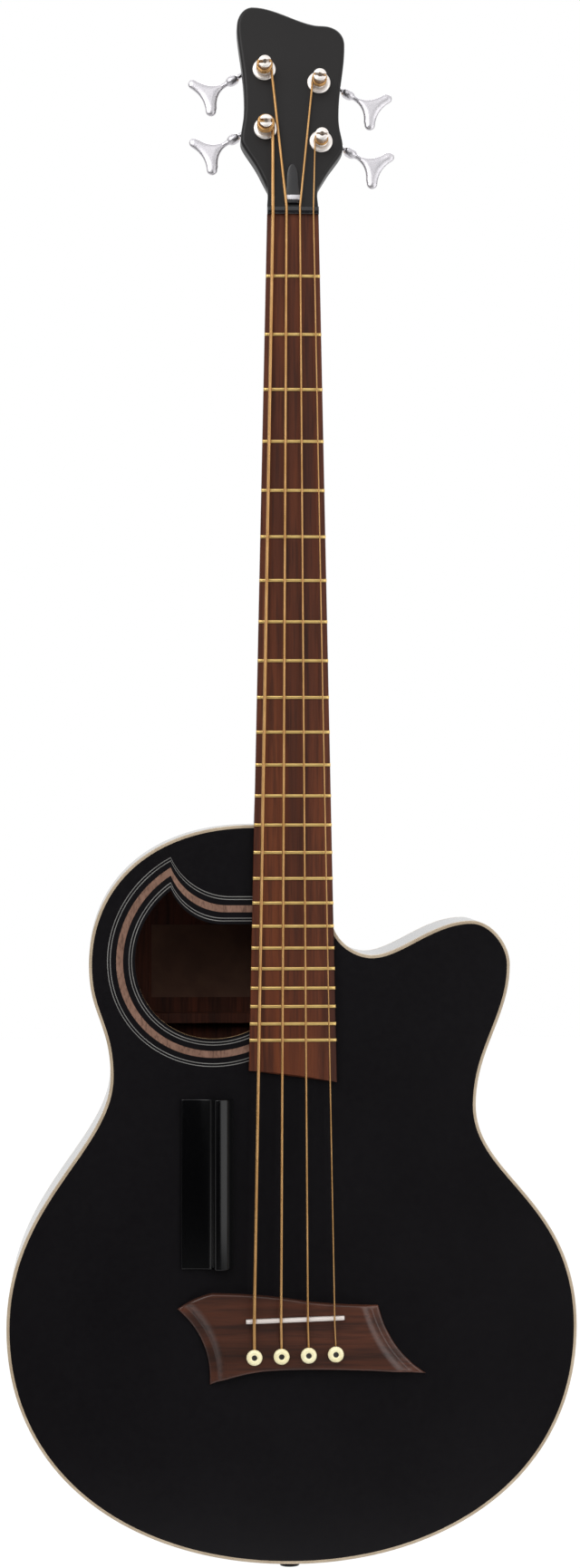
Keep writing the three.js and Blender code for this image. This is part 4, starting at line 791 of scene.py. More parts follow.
# The shaft starts this far up, in lengths of the heel, and thins evenly towards the nut
SHAFT_START = 1.6
SHAFT_DEEP = 19
SHAFT_SLIM = 15.5
# How round a section is: 1 for an oval, less for a fuller one
SHAFT_POWER = 0.9
FOOT_POWERS = (0.88, 0.7)
HEAD_ROUND = 3
# The neck's round back turns into the flat back of the headstock over this length
FOOT_LENGTH = 27
# The foot runs on this far under the faces of the headstock, so that the two don't flicker
HAIR = 0.03


def spline(rows, at):
    """A smooth value between rows whose first entry is the place."""
    for i in range(len(rows) - 1):
        if at <= rows[i + 1][0] or i == len(rows) - 2:
            break
    p0, p1, p2, p3 = rows[max(i - 1, 0)], rows[i], rows[i + 1], rows[min(i + 2, len(rows) - 1)]
    span = p2[0] - p1[0]
    t = (at - p1[0]) / span
    result = []
    for k in range(1, len(p1)):
        m1 = (p2[k] - p0[k]) / max(p2[0] - p0[0], 1e-6) * span
        m2 = (p3[k] - p1[k]) / max(p3[0] - p1[0], 1e-6) * span
        h = (2 * t ** 3 - 3 * t ** 2 + 1) * p1[k] + (t ** 3 - 2 * t ** 2 + t) * m1
        result.append(h + (3 * t ** 2 - 2 * t ** 3) * p2[k] + (t ** 3 - t ** 2) * m2)
    return result


def neck_ring(half, depth, power, floor=-1e9):
    """Half an oval from the treble edge under the neck to the bass edge, as [x, z] pairs."""
    ring, steps = [], 28
    for k in range(steps + 1):
        t = pi * k / steps
        c, s = cos(t), max(sin(t), 0)
        ring.append((copysign(half * abs(c) ** power, c), max(-depth * s ** power, floor)))
    return ring


def head_outline():
    base, up = board_half(NUT_LENGTH), HEAD_LENGTH
    return outline_from((-base, NUT_LENGTH), [
        ((-40.4, 0.335 * up), "yy", (0.5, 0.16), 5),
        ((-37.3, 0.52 * up), "yy", (0.3, 0.5), 3),
        ((-42.7, 0.9 * up), "yy", (0.45, 0.25), 4),
        ((-30.2, up), "yx", (0.6, 0.5), 4),
        ((24.2, 0.91 * up), "xx", (0.35, 0.3), 5),
        ((42.7, 0.815 * up), "xy", (0.75, 0.45), 5),
        ((37.3, 0.45 * up), "yy", (0.35, 0.4), 4),
        ((40.4, 0.305 * up), "yy", (0.45, 0.3), 3),
        ((base, NUT_LENGTH), "yy", (0.22, 0.5), 5),
    ], fine=5)


def foot_ring(loop, rim, v):
    """A section of the foot: the neck's at v = 0, that of the headstock from FOOT_LENGTH on."""
    share = min(v / FOOT_LENGTH, 1)
    share *= share * (3 - 2 * share)
    left, right = sorted(crossings(loop, v))
    section = neck_ring(1, 1, lerp(*FOOT_POWERS, share))
    ring = [(x * (right if x > 0 else -left), z * HEAD_THICK) for x, z in section]
    edge = [(*sorted(crossings(line, v)), z) for line, z in rim]
    square = [(x, z) for _, x, z in edge] + [(0, -HEAD_THICK)] + [(x, z) for x, _, z in edge[::-1]]
    square = [(copysign(max(abs(x) - HAIR, 0), x), min(max(z, HAIR - HEAD_THICK), -HAIR)) for x, z in square]
    return [(lerp(x, u, share), v, lerp(z, w, share)) for (x, z), (u, w) in zip(ring, square)]


def build_neck():
    start = BODY_TOP + SEAT_GAP
    rings = []
    for share in parts(24):
        y = start + share * HEEL_LENGTH
        deep, power = spline(HEEL_ROWS, share)
        rings.append([(x, y, z) for x, z in neck_ring(board_half(y), deep * HEEL_DEPTH, power, -HEEL_DEPTH)])
    for share in parts(12):
        y = lerp(start + SHAFT_START * HEEL_LENGTH, -NUT_LENGTH, share)
        section = neck_ring(board_half(y), lerp(SHAFT_DEEP, SHAFT_SLIM, share), SHAFT_POWER)
        rings.append([(x, y, z) for x, z in section])
    outline = head_outline()
    base = board_half(NUT_LENGTH)
    loop = outline + [(base, -20), (-base, -20)]
    rows = edge_rows(-HEAD_THICK, 0, HEAD_ROUND, HEAD_ROUND, 6)
    rim = [(inset(loop, distance), z) for distance, z in rows[::-1]]
    for v in [FOOT_LENGTH * k / 14 for k in range(15)] + [FOOT_LENGTH + 2, FOOT_LENGTH + 5]:
        rings.append([HEAD_TURN @ Vector(p) for p in foot_ring(loop, rim, v)])
    keep_flat(piece("neck_shaft", skin(rings), [BLACK_HEAD], ["neck"], angle=50))
    left, right = sorted(crossings(loop, FOOT_LENGTH))
    upper = [(left, FOOT_LENGTH)] + [(x, v) for x, v in outline if v > FOOT_LENGTH + 0.2] + [(right, FOOT_LENGTH)]
    head = slab(upper, -HEAD_THICK, 0, HEAD_ROUND, HEAD_ROUND, steps=6)
    made = piece("headstock", head, [BLACK_HEAD], ["neck"], HEAD)
    holes = Shape()
    for line in LINES.values():
        holes.join(slab(circle(line.x, line.v, BUSHING_BORE), -HEAD_THICK - 5, 5))
    carve(made, holes, matrix=HEAD)
    keep_flat(made)


def board_section(y, slant):
    """A cambered section of the fingerboard, drawn back by up to slant towards the treble side."""
    half, low, shoulder, steps = board_half(y), 0.05, BOARD_EDGE - 0.7, 16

    def at(x, z):
        u = (x / half + 1) / 2
        return (x, y - slant * (0.35 * u + 0.65 * u * u), z)

    crown = []
    for k in range(steps + 1):
        x = half - 0.5 - (2 * half - 1.0) * k / steps
        crown.append(at(x, board_top(x, y) - (0.12 if k in (0, steps) else 0)))
    return [at(-half, low), at(half, low), at(half, shoulder), *crown, at(-half, shoulder)]


def build_board():
    shape = skin([board_section(-0.05, 0), board_section(BOARD_END, BOARD_SLANT)])
    piece("board", shape, [BOARD_WOOD], ["fingerboard"], angle=25)
    frets, wide, tall = Shape(), 1.25, 1.1
    across = [-1, -0.985, -0.96] + [-0.9 + 1.8 * k / 12 for k in range(13)] + [0.96, 0.985, 1]
    for n in range(1, FRETS + 1):
        y = fret_y(n)
        half = board_half(y) + 0.1
        rings = []
        for u in across:
            rise = tall * min(1, 0.25 + (1 - abs(u)) / 0.04 * 0.75)
            base = board_top(u * board_half(y), y)
            turns = (pi * j / 8 for j in range(9))
            ring = [(u * half, y + wide * cos(t), base + rise * sin(t) ** 0.55) for t in turns]
            rings.append(ring + [(u * half, y - 0.4, base - 1.2), (u * half, y + 0.4, base - 1.2)])
        frets.join(skin(rings))
    piece("frets", frets, [FRET_WIRE], ["fingerboard"], angle=50)


# Bridge: each row is a curve of three points, in shares of its span about the middle of the saddle
BRIDGE_ROWS = [
    (-0.469, 0.04, -0.4, 0.09, -0.33, 0.103),
    (-0.33, 0.103, -0.12, 0.1, 0.05, 0.068),
    (0.05, 0.068, 0.2, 0.052, 0.335, 0.052),
    (0.335, 0.052, 0.38, -0.13, 0.5265, -0.222),
    (0.5265, -0.222, 0.1, -0.19, -0.13, -0.208),
    (-0.13, -0.208, -0.24, -0.222, -0.34, -0.262),
    (-0.34, -0.262, -0.33, -0.08, -0.469, 0.04),
]
SCALLOP_ROWS = [
    (-0.469, 0.04, -0.365, -0.1, -0.34, -0.262),
    (0.335, 0.052, 0.405, -0.1, 0.5265, -0.222),
]


def bridge_points(row):
    return [(BRIDGE_X + row[k] * BRIDGE_SPAN, SADDLE_Y + row[k + 1] * BRIDGE_SPAN) for k in (0, 2, 4)]


def arc_through(points):
    """The centre and the radius of the circle through three points."""
    (ax, ay), (bx, by), (cx, cy) = points
    d = 2 * (ax * (by - cy) + bx * (cy - ay) + cx * (ay - by))
    aa, bb, cc = ax * ax + ay * ay, bx * bx + by * by, cx * cx + cy * cy
    x = (aa * (by - cy) + bb * (cy - ay) + cc * (ay - by)) / d
    y = (aa * (cx - bx) + bb * (ax - cx) + cc * (bx - ax)) / d
    return Vector((x, y)), hypot(ax - x, ay - y)


def slant_at(x):
    return SADDLE_SLANT * (x - BRIDGE_X) / SADDLE_LENGTH


def pin_place(line):
    x = line.rank * PIN_SPACING + BRIDGE_X
    return x, SADDLE_Y - PIN_DROP + slant_at(x)


def build_bridge():
    outline = [p for row in BRIDGE_ROWS for p in bezier(bridge_points(row), 14)]
    arcs = [arc_through(bridge_points(row)) for row in SCALLOP_ROWS]

    def shares(x, y):
        """How far a place lies inside each end's arc, in widths of the scallop."""
        return [((Vector((x, y)) - centre).length - radius) / SCALLOP_WIDTH for centre, radius in arcs]

    # In widths of the scallop from each arc: a thin wing, a slope up to the crest, level wood from flat on
    crest, slope, thin, flat = 1.47, 0.85, 3.2, 1.5

    def height(x, y):
        z = BRIDGE_HEIGHT
        for share in shares(x, y):
            share = min(max(share, 0), flat)
            drop = min(max((crest - share) / slope, 0), 1) ** 2
            z = min(z, lerp(BRIDGE_HEIGHT, thin + share, drop))
        return z

    wall, pitch, clear = inset(outline, 2.2), 2.1, 6
    pins = [pin_place(line) for line in LINES.values()]
    grid = [(BRIDGE_X + pitch * i, SADDLE_Y + pitch * j) for i in range(-46, 52) for j in range(-26, 12)]
    extra = [
        (x, y) for x, y in grid
        if inside((x, y), wall) and all(hypot(x - px, y - py) > clear for px, py in pins)
        and min(shares(x, y)) > flat
    ]
    for centre, radius in arcs:
        for share in (0.3, 0.5, 0.6, 0.64, 0.7, 0.8, 0.9, 1, 1.1, 1.2, 1.3, 1.4, crest):
            ring = circle(centre.x, centre.y, radius + share * SCALLOP_WIDTH, 360)
            extra += [p for p in ring if inside(p, wall)]
    holes = [circle(px, py, PIN_HOLE) for px, py in pins]
    block = slab(outline, 0.02, BRIDGE_HEIGHT, 1.4, holes=holes, extra=extra, top=height)
    made = piece("bridge_block", block, [BRIDGE_WOOD], ["bridge"], angle=32)
    turn = Matrix.Translation((BRIDGE_X, SADDLE_Y, 0)) @ Matrix.Rotation(atan(SADDLE_SLANT / SADDLE_LENGTH), 4, "Z")
    half = SADDLE_LENGTH / 2
    slot = (half + SEAT_GAP, SADDLE_HALF + SEAT_GAP)
    cuts = Shape().join(slab(rectangle(-slot[0], -slot[1], *slot), 3.3, 20), turn)
    for line in LINES.values():
        cuts.join(tube(string_path(line)[:7], line.gauge / 2 + CHANNEL_PLAY, 14))
    carve(made, cuts, 32)

    rings, rows = [], 60
    for k in range(rows + 1):
        x = -half + SADDLE_LENGTH * k / rows
        trim = (0.8, 0.25, 0.0)[min(k, rows - k, 2)]
        wide, rise, crown = SADDLE_HALF * (1 - trim * 0.15), 1.6 - trim, 0.35 * (1 - (x / half) ** 2)
        ring = [(x, wide * cos(t), 10.9 + rise * sin(t) + crown) for t in (pi * j / 10 for j in range(11))]
        rings.append(ring + [(x, -SADDLE_HALF, 3.6), (x, SADDLE_HALF, 3.6)])
    saddle = piece("saddle_bar", Shape().join(skin(rings), turn), [BONE], ["saddle"], angle=40)
    notches = Shape()
    for line in LINES.values():
        notches.join(tube(string_path(line)[:14], line.gauge / 2 + NOTCH_PLAY, 14))
    carve(saddle, notches, 40)


def build_pins():
    seat = BRIDGE_HEIGHT + SEAT_GAP
    profile = [
        (0, seat - 17.5), (3.2, seat - 17.5), (3.7, seat - 17), (4.4, seat - 1), (4.5, seat), (5.9, seat),
        (6.25, seat + 0.4), (6.25, seat + 1.2), (6.0, seat + 2.1), (5.3, seat + 2.9), (4.3, seat + 3.35),
        (3.2, seat + 3.4), (2.5, seat + 3.1), (2.2, seat + 2.7), (1.6, seat + 2.5), (0, seat + 2.5),
    ]
    mats = [0] * (len(profile) - 3) + [1, 1]
    for key, line in LINES.items():
        x, y = pin_place(line)
        made = piece(
            f"pin_{key}", lathe(profile, 40, mats), [PIN_CREAM, PIN_DOT], [f"bridge_pin_{key}"],
            INSTRUMENT @ shift(x, y), f"pin_{key}", 45,
        )
        reach = PIN_HOLE - SEAT_GAP - line.gauge / 2
        half = line.gauge / 2 + SEAT_GAP
        groove = rectangle(x - half, y + reach - half, x + half, y + 6.3)
        carve(made, slab(groove, seat - 22, seat - 0.3), 45)


# Strings
def touch(line):
    """Where the straight string meets its winding: angle, radius and place on the headstock."""
    radius = POST_RADIUS + SEAT_GAP + line.gauge / 2
    nut = HEAD_TURN.inverted() @ Vector((line.rank * NUT_SPACING, NUT_LENGTH, NUT_SLOT))
    dx, dv = nut.x - line.x, nut.y - line.v
    angle = atan2(dv, dx) - line.side * acos(radius / hypot(dx, dv))
    return angle, radius, (line.x + radius * cos(angle), line.v + radius * sin(angle))


def winding_low(line):
    """The height of the first turn's middle above the headstock."""
    return 4.1 + line.gauge / 2


def string_path(line):
    """From the ball under the bridge plate over saddle and nut to the winding."""
    r = line.gauge / 2
    px, py = pin_place(line)
    hole_y = py + PIN_HOLE - 0.1 - SEAT_GAP - r
    sx = line.rank * SADDLE_SPACING + BRIDGE_X / 2
    sy = SADDLE_Y + slant_at(sx)
    nx, nut_z = line.rank * NUT_SPACING, NUT_SLOT + r
    end = HEAD_TURN @ Vector((*touch(line)[2], winding_low(line)))
    return rounded_path([
        (px, hole_y, -10.5), (px, hole_y, BRIDGE_HEIGHT * 0.6), (px, hole_y + 2.6, BRIDGE_HEIGHT + r * 0.1),
        (sx, sy - SADDLE_HALF, SADDLE_TOP + r - SEAT_GAP), (sx, sy + SADDLE_HALF, SADDLE_TOP + r),
        (nx, 0, nut_z), (nx, NUT_LENGTH, nut_z - SEAT_GAP), end,
    ], 1.6, 5)


def build_strings():
    turns, steps = 2.5, 48
    for key, line in LINES.items():
        r = line.gauge / 2
        path = string_path(line)
        ball = [(0, -BALL_RADIUS), *arc(0, 0, BALL_RADIUS, -pi / 2, pi, 12)[1:-1], (0, BALL_RADIUS)]
        shape = tube(path, r, 16).join(lathe(ball, 20), Matrix.Translation((path[0].x, path[0].y + 1.5, BALL_Z)))
        piece(f"line_{key}", shape, [WOUND], [f"string_{key}"], angle=60)
        angle, radius, _ = touch(line)
        pitch = max(1.35 * 2 * r, 2 * r + 2 * SEAT_GAP)
        low, top = winding_low(line), winding_low(line) + turns * pitch
        points = []
        for turn in (k / steps for k in range(int(turns * steps) + 1)):
            t = angle - line.side * 2 * pi * turn
            points.append((radius * cos(t), radius * sin(t), low + turn * pitch))
        end = angle - line.side * 2 * pi * turns
        points += [(reach * cos(end), reach * sin(end), top) for reach in (radius - 2 * r, r)]
        at_post = HEAD @ shift(line.x, line.v)
        winding = [f"string_winding_{key}"]
        piece(f"turns_{key}", tube(points, r, 14), [WOUND], winding, at_post, f"post_{key}", 60)
        build_post(key, at_post, end, top - r - SEAT_GAP, r + SEAT_GAP)


def build_post(key, at_post, angle, slot_low, slot_half):
    """The slotted and bored post, and its bushing in the headstock."""
    base, bore, above = 2.3, 1.9, 25
    profile = [
        (0, -25.3), (3, -25.3), (3, -20), (4.7, -20), (4.7, base), (5.0, base), (5.2, base + 0.25),
        (5.2, base + 0.6), (4.6, base + 1.0), (4, base + 1.3), (4, 16.2), (4.5, 16.5), (5.0, 16.75),
        (5.2, 17.05), (5.15, 17.3), (4.85, 17.5), (0, 17.5),
    ]
    made = piece(
        f"shaft_{key}", lathe(profile, 40), [SATIN_CHROME], [f"string_post_{key}"],
        at_post, f"post_{key}", 40,
    )
    c, s = cos(angle), sin(angle)
    slot = [(c * a - s * b, s * a + c * b) for a, b in rectangle(-9, -slot_half, 9, slot_half)]
    carve(made, slab(slot, slot_low, above), 40, at_post)
    carve(made, slab(circle(0, 0, bore, 20), slot_low - 5.5, above), 40, at_post)
    flange = [
        (5, -10), (6.5, -10), (6.5, SEAT_GAP), (8.9, SEAT_GAP), (9.2, 0.5), (9.25, 0.85), (9.1, 1.25),
        (8.7, 1.55), (7.6, 1.85), (6.6, 2), (5.4, 2), (5.05, 1.9), (5, 1.7), (5, -10),
    ]
    bushing = [f"tuner_bushing_{key}"]
    piece(f"ferrule_{key}", lathe(flange, 48), [SATIN_CHROME], bushing, at_post, angle=40)


# Tuners, in a frame on the post's axis with x along the key
SCREWS = ((9.0, -7.4, 1.7), (-9.0, -7.4, 1.7), (9.85, 14.2, 1.25), (-9.85, 14.2, 1.25))
TO_AXIS = Matrix.Translation((0, WORM_OFFSET, WORM_W))


def tuner_matrix(line):
    c, s = cos(KEY_ANGLE), sin(KEY_ANGLE)
    return HEAD @ Matrix((
        (line.side * c, line.side * s, 0, line.x / 1000), (-s, c, 0, line.v / 1000), (0, 0, 1, 0), (0, 0, 0, 1),
    ))


def pillow(outline, half, reach, pitch):
    """A plate on an outline with two crowned faces that meet at its rim."""
    if area(outline) < 0:
        outline = outline[::-1]
    inner = []
    for distance in (0.15, 0.45, 0.9, 1.45):
        near = distance * 0.93
        inner += [p for p in inset(outline, distance) if edge_distance(p, outline) > near and inside(p, outline)]
    xs, ys = zip(*outline)
    for i in range(int((max(xs) - min(xs)) / pitch) + 1):
        for j in range(int((max(ys) - min(ys)) / pitch) + 1):
            p = (min(xs) + i * pitch, min(ys) + j * pitch)
            if inside(p, outline) and edge_distance(p, outline) > 1.9:
                inner.append(p)
    faces = triangulate([outline], inner)
    crown = []
    for x, y in inner:
        share = min(edge_distance((x, y), outline) / reach, 1)
        crown.append((x, y, half * sqrt(1 - (1 - share) ** 2)))
    count = len(outline)
    under = [[i if i < count else i + len(inner) for i in face][::-1] for face in faces]
    return Shape([(x, y, 0) for x, y in outline] + crown + [(x, y, -z) for x, y, z in crown], faces + under)


def key_outline():
    """The clover-leaf paddle: two round lobes, a scooped end and a waist at the neck."""
    neck, tip, reach, r, lean = 27.4, 49.2, 15.4, 4.2, radians(25)
    lobe = reach - r / 2
    loop = [(neck, -2.0)]
    loop += bezier([(neck, -2.0), (39, -2.2), (tip - r - 0.2, -reach - 0.2)], 12)[:-1]
    loop += arc(tip, -lobe, r, pi + lean, pi, 12)
    loop += bezier([loop[-1], (tip - r / 2, 0), (tip + r * cos(lean), lobe - r * sin(lean))], 14)[:-1]
    loop += arc(tip, lobe, r, -lean, pi, 12)
    return loop + bezier([loop[-1], (39, 2.2), (neck, 2.0)], 12)


def build_key(key, line):
    """Shaft with its knuckle, worm thread and paddle."""
    end = LUG_AT + LUG_THICK + LUG_GAP
    core = [
        (0, -end), (1.9, -end), (2.2, 0.3 - end), (2.2, -4.6), (WORM_CORE, -4.5), (WORM_CORE, 4.5), (2.2, 4.6),
        (2.2, 15.6), (2.7, 15.9), (3.5, 16.9), (4.0, 18.2), (4.15, 19.6), (4.15, 21.6), (4.0, 23.0), (3.4, 24.6),
        (2.6, 25.6), (2.1, 26.2), (2.0, 28), (2.0, 31), (1.2, 33), (0, 33.6),
    ]
    polished = 10
    mats = [0] * polished + [1] * (len(core) - 1 - polished)
    shape = Shape().join(lathe(core, 32, mats), TO_AXIS @ QUARTER_Y)
    steps, turns = 36, 3
    pitch_half = 0.4 * WORM_PITCH / 2
    slope = tan(PRESSURE_ANGLE)
    crest, root = (pitch_half - (radius - WORM_RADIUS) * slope for radius in (WORM_OUTER, WORM_CORE))
    section = ((WORM_CORE - 0.3, -root), (WORM_OUTER, -crest), (WORM_OUTER, crest), (WORM_CORE - 0.3, root))
    rings = []
    for k in range(steps * turns + 1):
        turn = k / steps - turns / 2
        t = 2 * pi * turn
        rings.append([(WORM_PITCH * turn + half, radius * cos(t), radius * sin(t)) for radius, half in section])
    shape.join(skin(rings), TO_AXIS)
    paddle = pillow(key_outline(), half=2.2, reach=4.6, pitch=1.1)
    paddle.mats = [1] * len(paddle.faces)
    shape.join(paddle, TO_AXIS)
    matrix, body = tuner_matrix(line), f"key_{key}"
    piece(f"button_{key}", shape, [CHROME, KEY_CHROME], [f"tuner_key_{key}"], matrix, body, 40)


def screw_head(radius, height, x, y, z):
    """A low dome that faces the back."""
    rows = [(0, 0), (1, 0), (1, 0.35), (0.75, 0.85), (0.35, 1), (0, 1)]
    dome = lathe([(radius * r, height * h) for r, h in rows], 24)
    return Shape().join(dome, Matrix.Translation((x, y, z)) @ HALF_X)


def build_plate(key, line):
    """Base plate with two lugs and crossed screws, and the slotted cap that holds the gear."""
    matrix = tuner_matrix(line)
    far, corner, half = WORM_OFFSET + WORM_OUTER, 3.33, 8.17
    loop = []
    for x, y, start in ((half, -6.67, -90), (half, far - corner, 0), (-half, far - corner, 90), (-half, -6.67, 180)):
        loop += arc(x, y, corner, radians(start), pi / 2, 6)
    shape = slab(loop, PLATE_BACK, PLATE_FRONT, 0.3, 0.5, holes=[circle(0, 0, 5, 28)], steps=3)
    for x in (LUG_AT, -LUG_AT - LUG_THICK):
        low = (x, WORM_OFFSET - LUG_REACH, WORM_W - LUG_REACH)
        shape.join(rounded_box(low, (x + LUG_THICK, WORM_OFFSET + LUG_REACH, PLATE_BACK + 0.6), 0.6))
    made = piece(f"plate_{key}", shape, [CHROME], [f"tuner_plate_{key}"], matrix, angle=40)
    bore = slab(circle(0, 0, 2.5), -9.5, 9.5)
    carve(made, Shape().join(bore, TO_AXIS @ QUARTER_Y), 40, matrix)
    heads = Shape()
    for x, y, radius in SCREWS:
        heads.join(screw_head(radius, 1.1, x, y, PLATE_BACK + 0.05))
    made = piece(f"screws_{key}", heads, [STEEL], matrix=matrix, angle=40)
    cap = screw_head(3.4, 1.6, 0, 0, WORM_W - 2.8)
    cap = piece(f"gear_cap_{key}", cap, [STEEL], matrix=matrix, body=f"post_{key}", angle=40)
    carve(cap, slab(rectangle(-0.4, -3, 0.4, 3), WORM_W - 8, WORM_W - 3.6), 40, matrix)
    for wide in (True, False):
        slots = Shape()
        for x, y, radius in SCREWS:
            a, b = (radius * 0.75, 0.22) if wide else (0.22, radius * 0.75)
            slots.join(slab(rectangle(x - a, y - b, x + a, y + b), PLATE_BACK - 3, PLATE_BACK - 0.5))
        carve(made, slots, 40, matrix)


# Small fittings
def build_cover():
    """The truss-rod cover with its metal bar."""
    foot, length, wide, slim = 3, 33, 6.3, 4.8
    waist, tip = foot + 0.55 * length, foot + length
    loop = outline_from((-wide, foot), [
        ((wide, foot),),
        ((slim, waist), "yy", (0.4, 0.4), 8),
        ((0, tip), "yx", (0.6, 0.6), 10),
        ((-slim, waist), "xy", (0.6, 0.6), 10),
        ((-wide, foot), "yy", (0.4, 0.4), 8),
    ])
    cover = slab(loop, SEAT_GAP, SEAT_GAP + 2, 0.8)
    piece("rod_cover", cover, [BLACK_PLASTIC], ["truss_rod_cover"], HEAD)
    bar = rounded_box((-6.1, 5.6, 2.1), (6.1, 9.8, 3.2), 0.45)
    piece("cover_bar", bar, [KEY_CHROME], matrix=HEAD)


def build_nut():
    half = board_half(0)
    places = [(line.rank * NUT_SPACING, line.gauge / 2) for line in LINES.values()]

    def top(x, y):
        z = NUT_TOP - 1.2 * max(0, (y - 3) / 3)
        for sx, r in places:
            bore = r + NOTCH_PLAY
            if abs(x - sx) < bore:
                z = min(z, NUT_SLOT + r - sqrt(max(bore ** 2 - (x - sx) ** 2, 0)) - SEAT_GAP * y / NUT_LENGTH)
        return z

    corners = rectangle(-half, 0, half, NUT_LENGTH)
    even = (0.33, 0.33)
    rim = outline_from(corners[0], [
        (corners[1], "xx", even, 110), (corners[2], "yy", even, 8),
        (corners[3], "xx", even, 110), (corners[0], "yy", even, 8),
    ])
    grid = [(-half + 0.3 + (2 * half - 0.6) * i / 110, 0.8 + 0.55 * j) for i in range(111) for j in range(9)]
    block = slab(rim, 0.02, NUT_TOP, 0.5, extra=grid, top=top, steps=3)
    piece("nut_block", block, [BLACK_PLASTIC], ["nut"], angle=30)


def build_rest():
    """The thumb rest: a scooped bar with a high ridge, between the rosette and the bridge."""
    long, short = HOLE_LONG + ROSETTE_WIDTH, HOLE_SHORT + ROSETTE_WIDTH
    rosette_low = BODY_TOP - HOLE_DROP - hypot(long * sin(HOLE_TILT), short * cos(HOLE_TILT))
    bridge_top = SADDLE_Y + 0.1 * BRIDGE_SPAN
    upper, lower = lerp(rosette_low, bridge_top, 0.14), lerp(rosette_low, bridge_top, 0.89)
    section = [(0, 0), (41, 0)]
    for handles, steps in (
        ([(40.0, 4.2), (38.4, 7.4)], 6), ([(37.5, 9.3), (35.8, 10.5)], 6), ([(32.2, 13.0), (28.6, 13.0)], 16),
        ([(26.2, 13.0), (24.8, 9.2)], 8), ([(22.4, 3.0), (15, 3.0), (0.9, 3.0)], 20), ([(0, 3.0), (0, 2.1)], 3),
    ):
        section += bezier([section[-1], *handles], steps)
    stand = Matrix(((1, 0, 0, -87.5), (0, 0, 1, lower), (0, 1, 0, 0.02), (0, 0, 0, 1)))
    bar = Shape().join(slab(section, 0, upper - lower, 0.9, 0.9), stand)
    # Its near-black finish is painted shade for the scooped face.
    piece("rest_bar", bar, [BLACK_REST_SHADED], ["thumb_rest"], angle=40)


def build_knobs():
    """The end pin with its stem in the tail block, and the strap button on the heel."""
    knob = [
        (7.7, 0), (8, 0.3), (8, 1.0), (7.4, 1.9), (5.6, 3.0), (4.5, 4.0), (4.2, 5.2), (4.5, 6.4), (5.9, 7.6),
        (7.5, 8.6), (8, 9.3), (7.8, 10.0), (7.2, 10.4), (6.5, 10.5), (0, 10.5),
    ]
    stem = [(0, -21), (4.0, -21), (4.2, -20.6), (4.2, 0)]
    at_tail = INSTRUMENT @ shift(0, TAIL - SEAT_GAP, -DEPTH_TAIL / 2) @ QUARTER_X
    at_heel = INSTRUMENT @ shift(0, BODY_TOP + 13, -HEEL_DEPTH) @ HALF_X
    for name, profile, node_name, matrix in (
        ("tail_knob", stem + knob, "end_pin", at_tail), ("heel_knob", [(0, 0)] + knob, "strap_button", at_heel),
    ):
        piece(name, lathe(profile, 48), [BLACK_PLASTIC], [node_name], matrix, angle=40)


def dress_frame():
    """Materials on the CAD nodes that stay."""
    finishes = {
        INNER_WOOD: ("neck_block", "tail_block", "top_lining", "back_lining", "bridge_plate"),
        INNER_BACK_SHADED: ("upper_back_brace", "lower_back_brace"),
        SPRUCE: ("x_brace_bass", "x_brace_treble", "waist_brace"),
        STEEL: ("truss_rod", "truss_rod_nut"),
        BRASS: tuple(f"tuner_gear_{key}" for key in LINES),
    }
    for finish, names in finishes.items():
        for name in names:
            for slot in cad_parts[name].material_slots:
                slot.material = finish


# Stage, in metres
FLOOR_Z = -1.13
CAMERA_PLACE = (-0.15, -3.006, -0.4608)
CAMERA_AIM = (-0.0021, -0.009, -0.4608)
SENSOR = 24
CAMERA_FAR = 3.0
VIEW_HEIGHT = 1.2318


def either_ray(tree, rays, value):
    """1 for rays from the camera, straight or through glass, and the value given for all others."""
    for kind in ("Is Camera Ray", "Is Transmission Ray"):
        value = calculate(tree, "MAXIMUM", value, rays.outputs[kind])
    return value


def build_floor():
    """A pale floor that catches the shadow and is white where it is seen."""
    mesh = bpy.data.meshes.new("floor")
    mesh.from_pydata([(x, y, FLOOR_Z) for x, y in rectangle(-6, -0.3, 6, 7)], [], [(0, 1, 2, 3)])
    mat, tree, shader = material("floor", 0.7, specular=0.1)
    shader.inputs["Base Color"].default_value = (0.9, 0.9, 0.9, 1)
    glow = node(tree, "Emission", {"Color": (1, 1, 1, 1), "Strength": 1.06})
    rays = node(tree, "LightPath")
    share = calculate(tree, "MULTIPLY", either_ray(tree, rays, rays.outputs["Is Glossy Ray"]), 0.8)
    mix = node(tree, "MixShader", {0: share, 1: shader.outputs[0], 2: glow.outputs[0]})
    tree.links.new(mix.outputs[0], tree.nodes["Material Output"].inputs["Surface"])
    mesh.materials.append(mat)
    floor = add("floor", mesh)


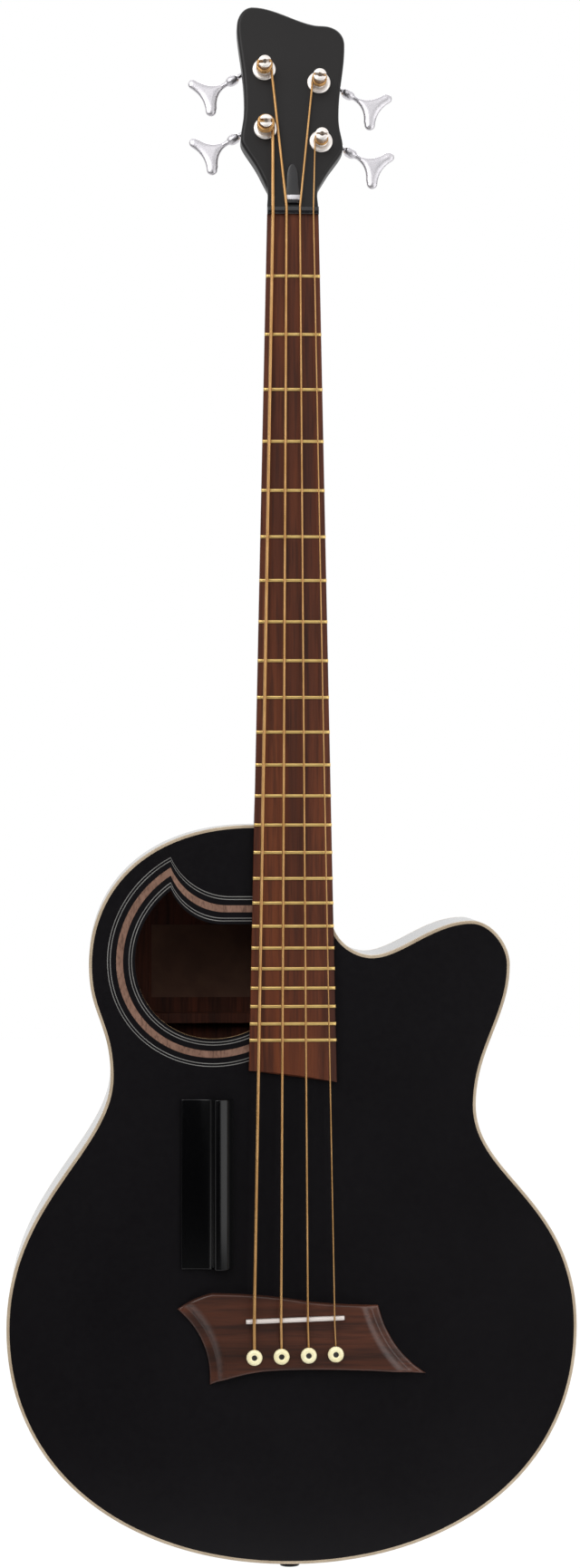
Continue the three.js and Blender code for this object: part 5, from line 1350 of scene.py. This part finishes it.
def build_sky():
    """A soft sky, brightest behind and above, that the camera and mirrors see as white."""
    world = bpy.data.worlds.new("sky")
    scene.world = world
    world.use_nodes = True
    tree = world.node_tree
    split = node(tree, "SeparateXYZ", {0: node(tree, "TexCoord").outputs["Generated"]})
    away, up = (remap(tree, split.outputs[axis], -1, 1, "From") for axis in "YZ")
    behind = greys(tree, away, [(0.02, 0.02), (0.3, 0.08), (0.5, 0.5), (0.8, 0.8), (0.96, 1)])
    above = greys(tree, up, [(0.2, 0.75), (0.34, 0.08), (0.44, 0), (0.52, 0), (0.64, 0.08), (0.76, 0.95)])
    light = blend(tree, "LIGHTEN", 1.0, behind, above)
    rays = node(tree, "LightPath")
    backdrop = greys(tree, away, [(0.6, 0), (0.85, 1)])
    white = either_ray(tree, rays, calculate(tree, "MULTIPLY", rays.outputs["Is Glossy Ray"], backdrop))
    shown = blend(tree, "MIX", white, light, (1, 1, 1, 1))
    fill(tree, tree.nodes["Background"], {"Color": shown, "Strength": 1.0})


def aim(obj, place, target):
    obj.location = place
    obj.rotation_euler = (Vector(target) - Vector(place)).to_track_quat("-Z", "Y").to_euler()


def build_lamps():
    """Three softboxes."""
    for name, place, wide, tall, power in (
        ("key", (-1.9, -2.5, 1.5), 3.0, 3.0, 70),
        ("fill", (2.4, -2.3, -0.2), 3.0, 3.2, 52),
        ("rear", (0.6, 2.0, 2.4), 2.4, 2.0, 46),
    ):
        data = bpy.data.lights.new(name, "AREA")
        data.shape, data.size, data.size_y, data.energy = "RECTANGLE", wide, tall, power
        aim(add(name, data), place, (0, 0, -0.5))


def build_camera():
    """The photograph's view: VIEW_HEIGHT fills its height at CAMERA_FAR."""
    data = bpy.data.cameras.new("camera")
    scene.camera = add("camera", data)
    aim(scene.camera, CAMERA_PLACE, CAMERA_AIM)
    data.sensor_fit = "VERTICAL"
    data.sensor_height = SENSOR
    data.lens = SENSOR * CAMERA_FAR / VIEW_HEIGHT
    data.clip_end = 50
    scene.view_settings.view_transform = "Standard"


build_floor()
build_sky()
build_lamps()
build_camera()
build_shell()
build_rosette()
build_neck()
build_board()
build_bridge()
build_pins()
build_strings()
for key, line in LINES.items():
    build_key(key, line)
    build_plate(key, line)
build_cover()
build_nut()
build_rest()
build_knobs()
dress_frame()
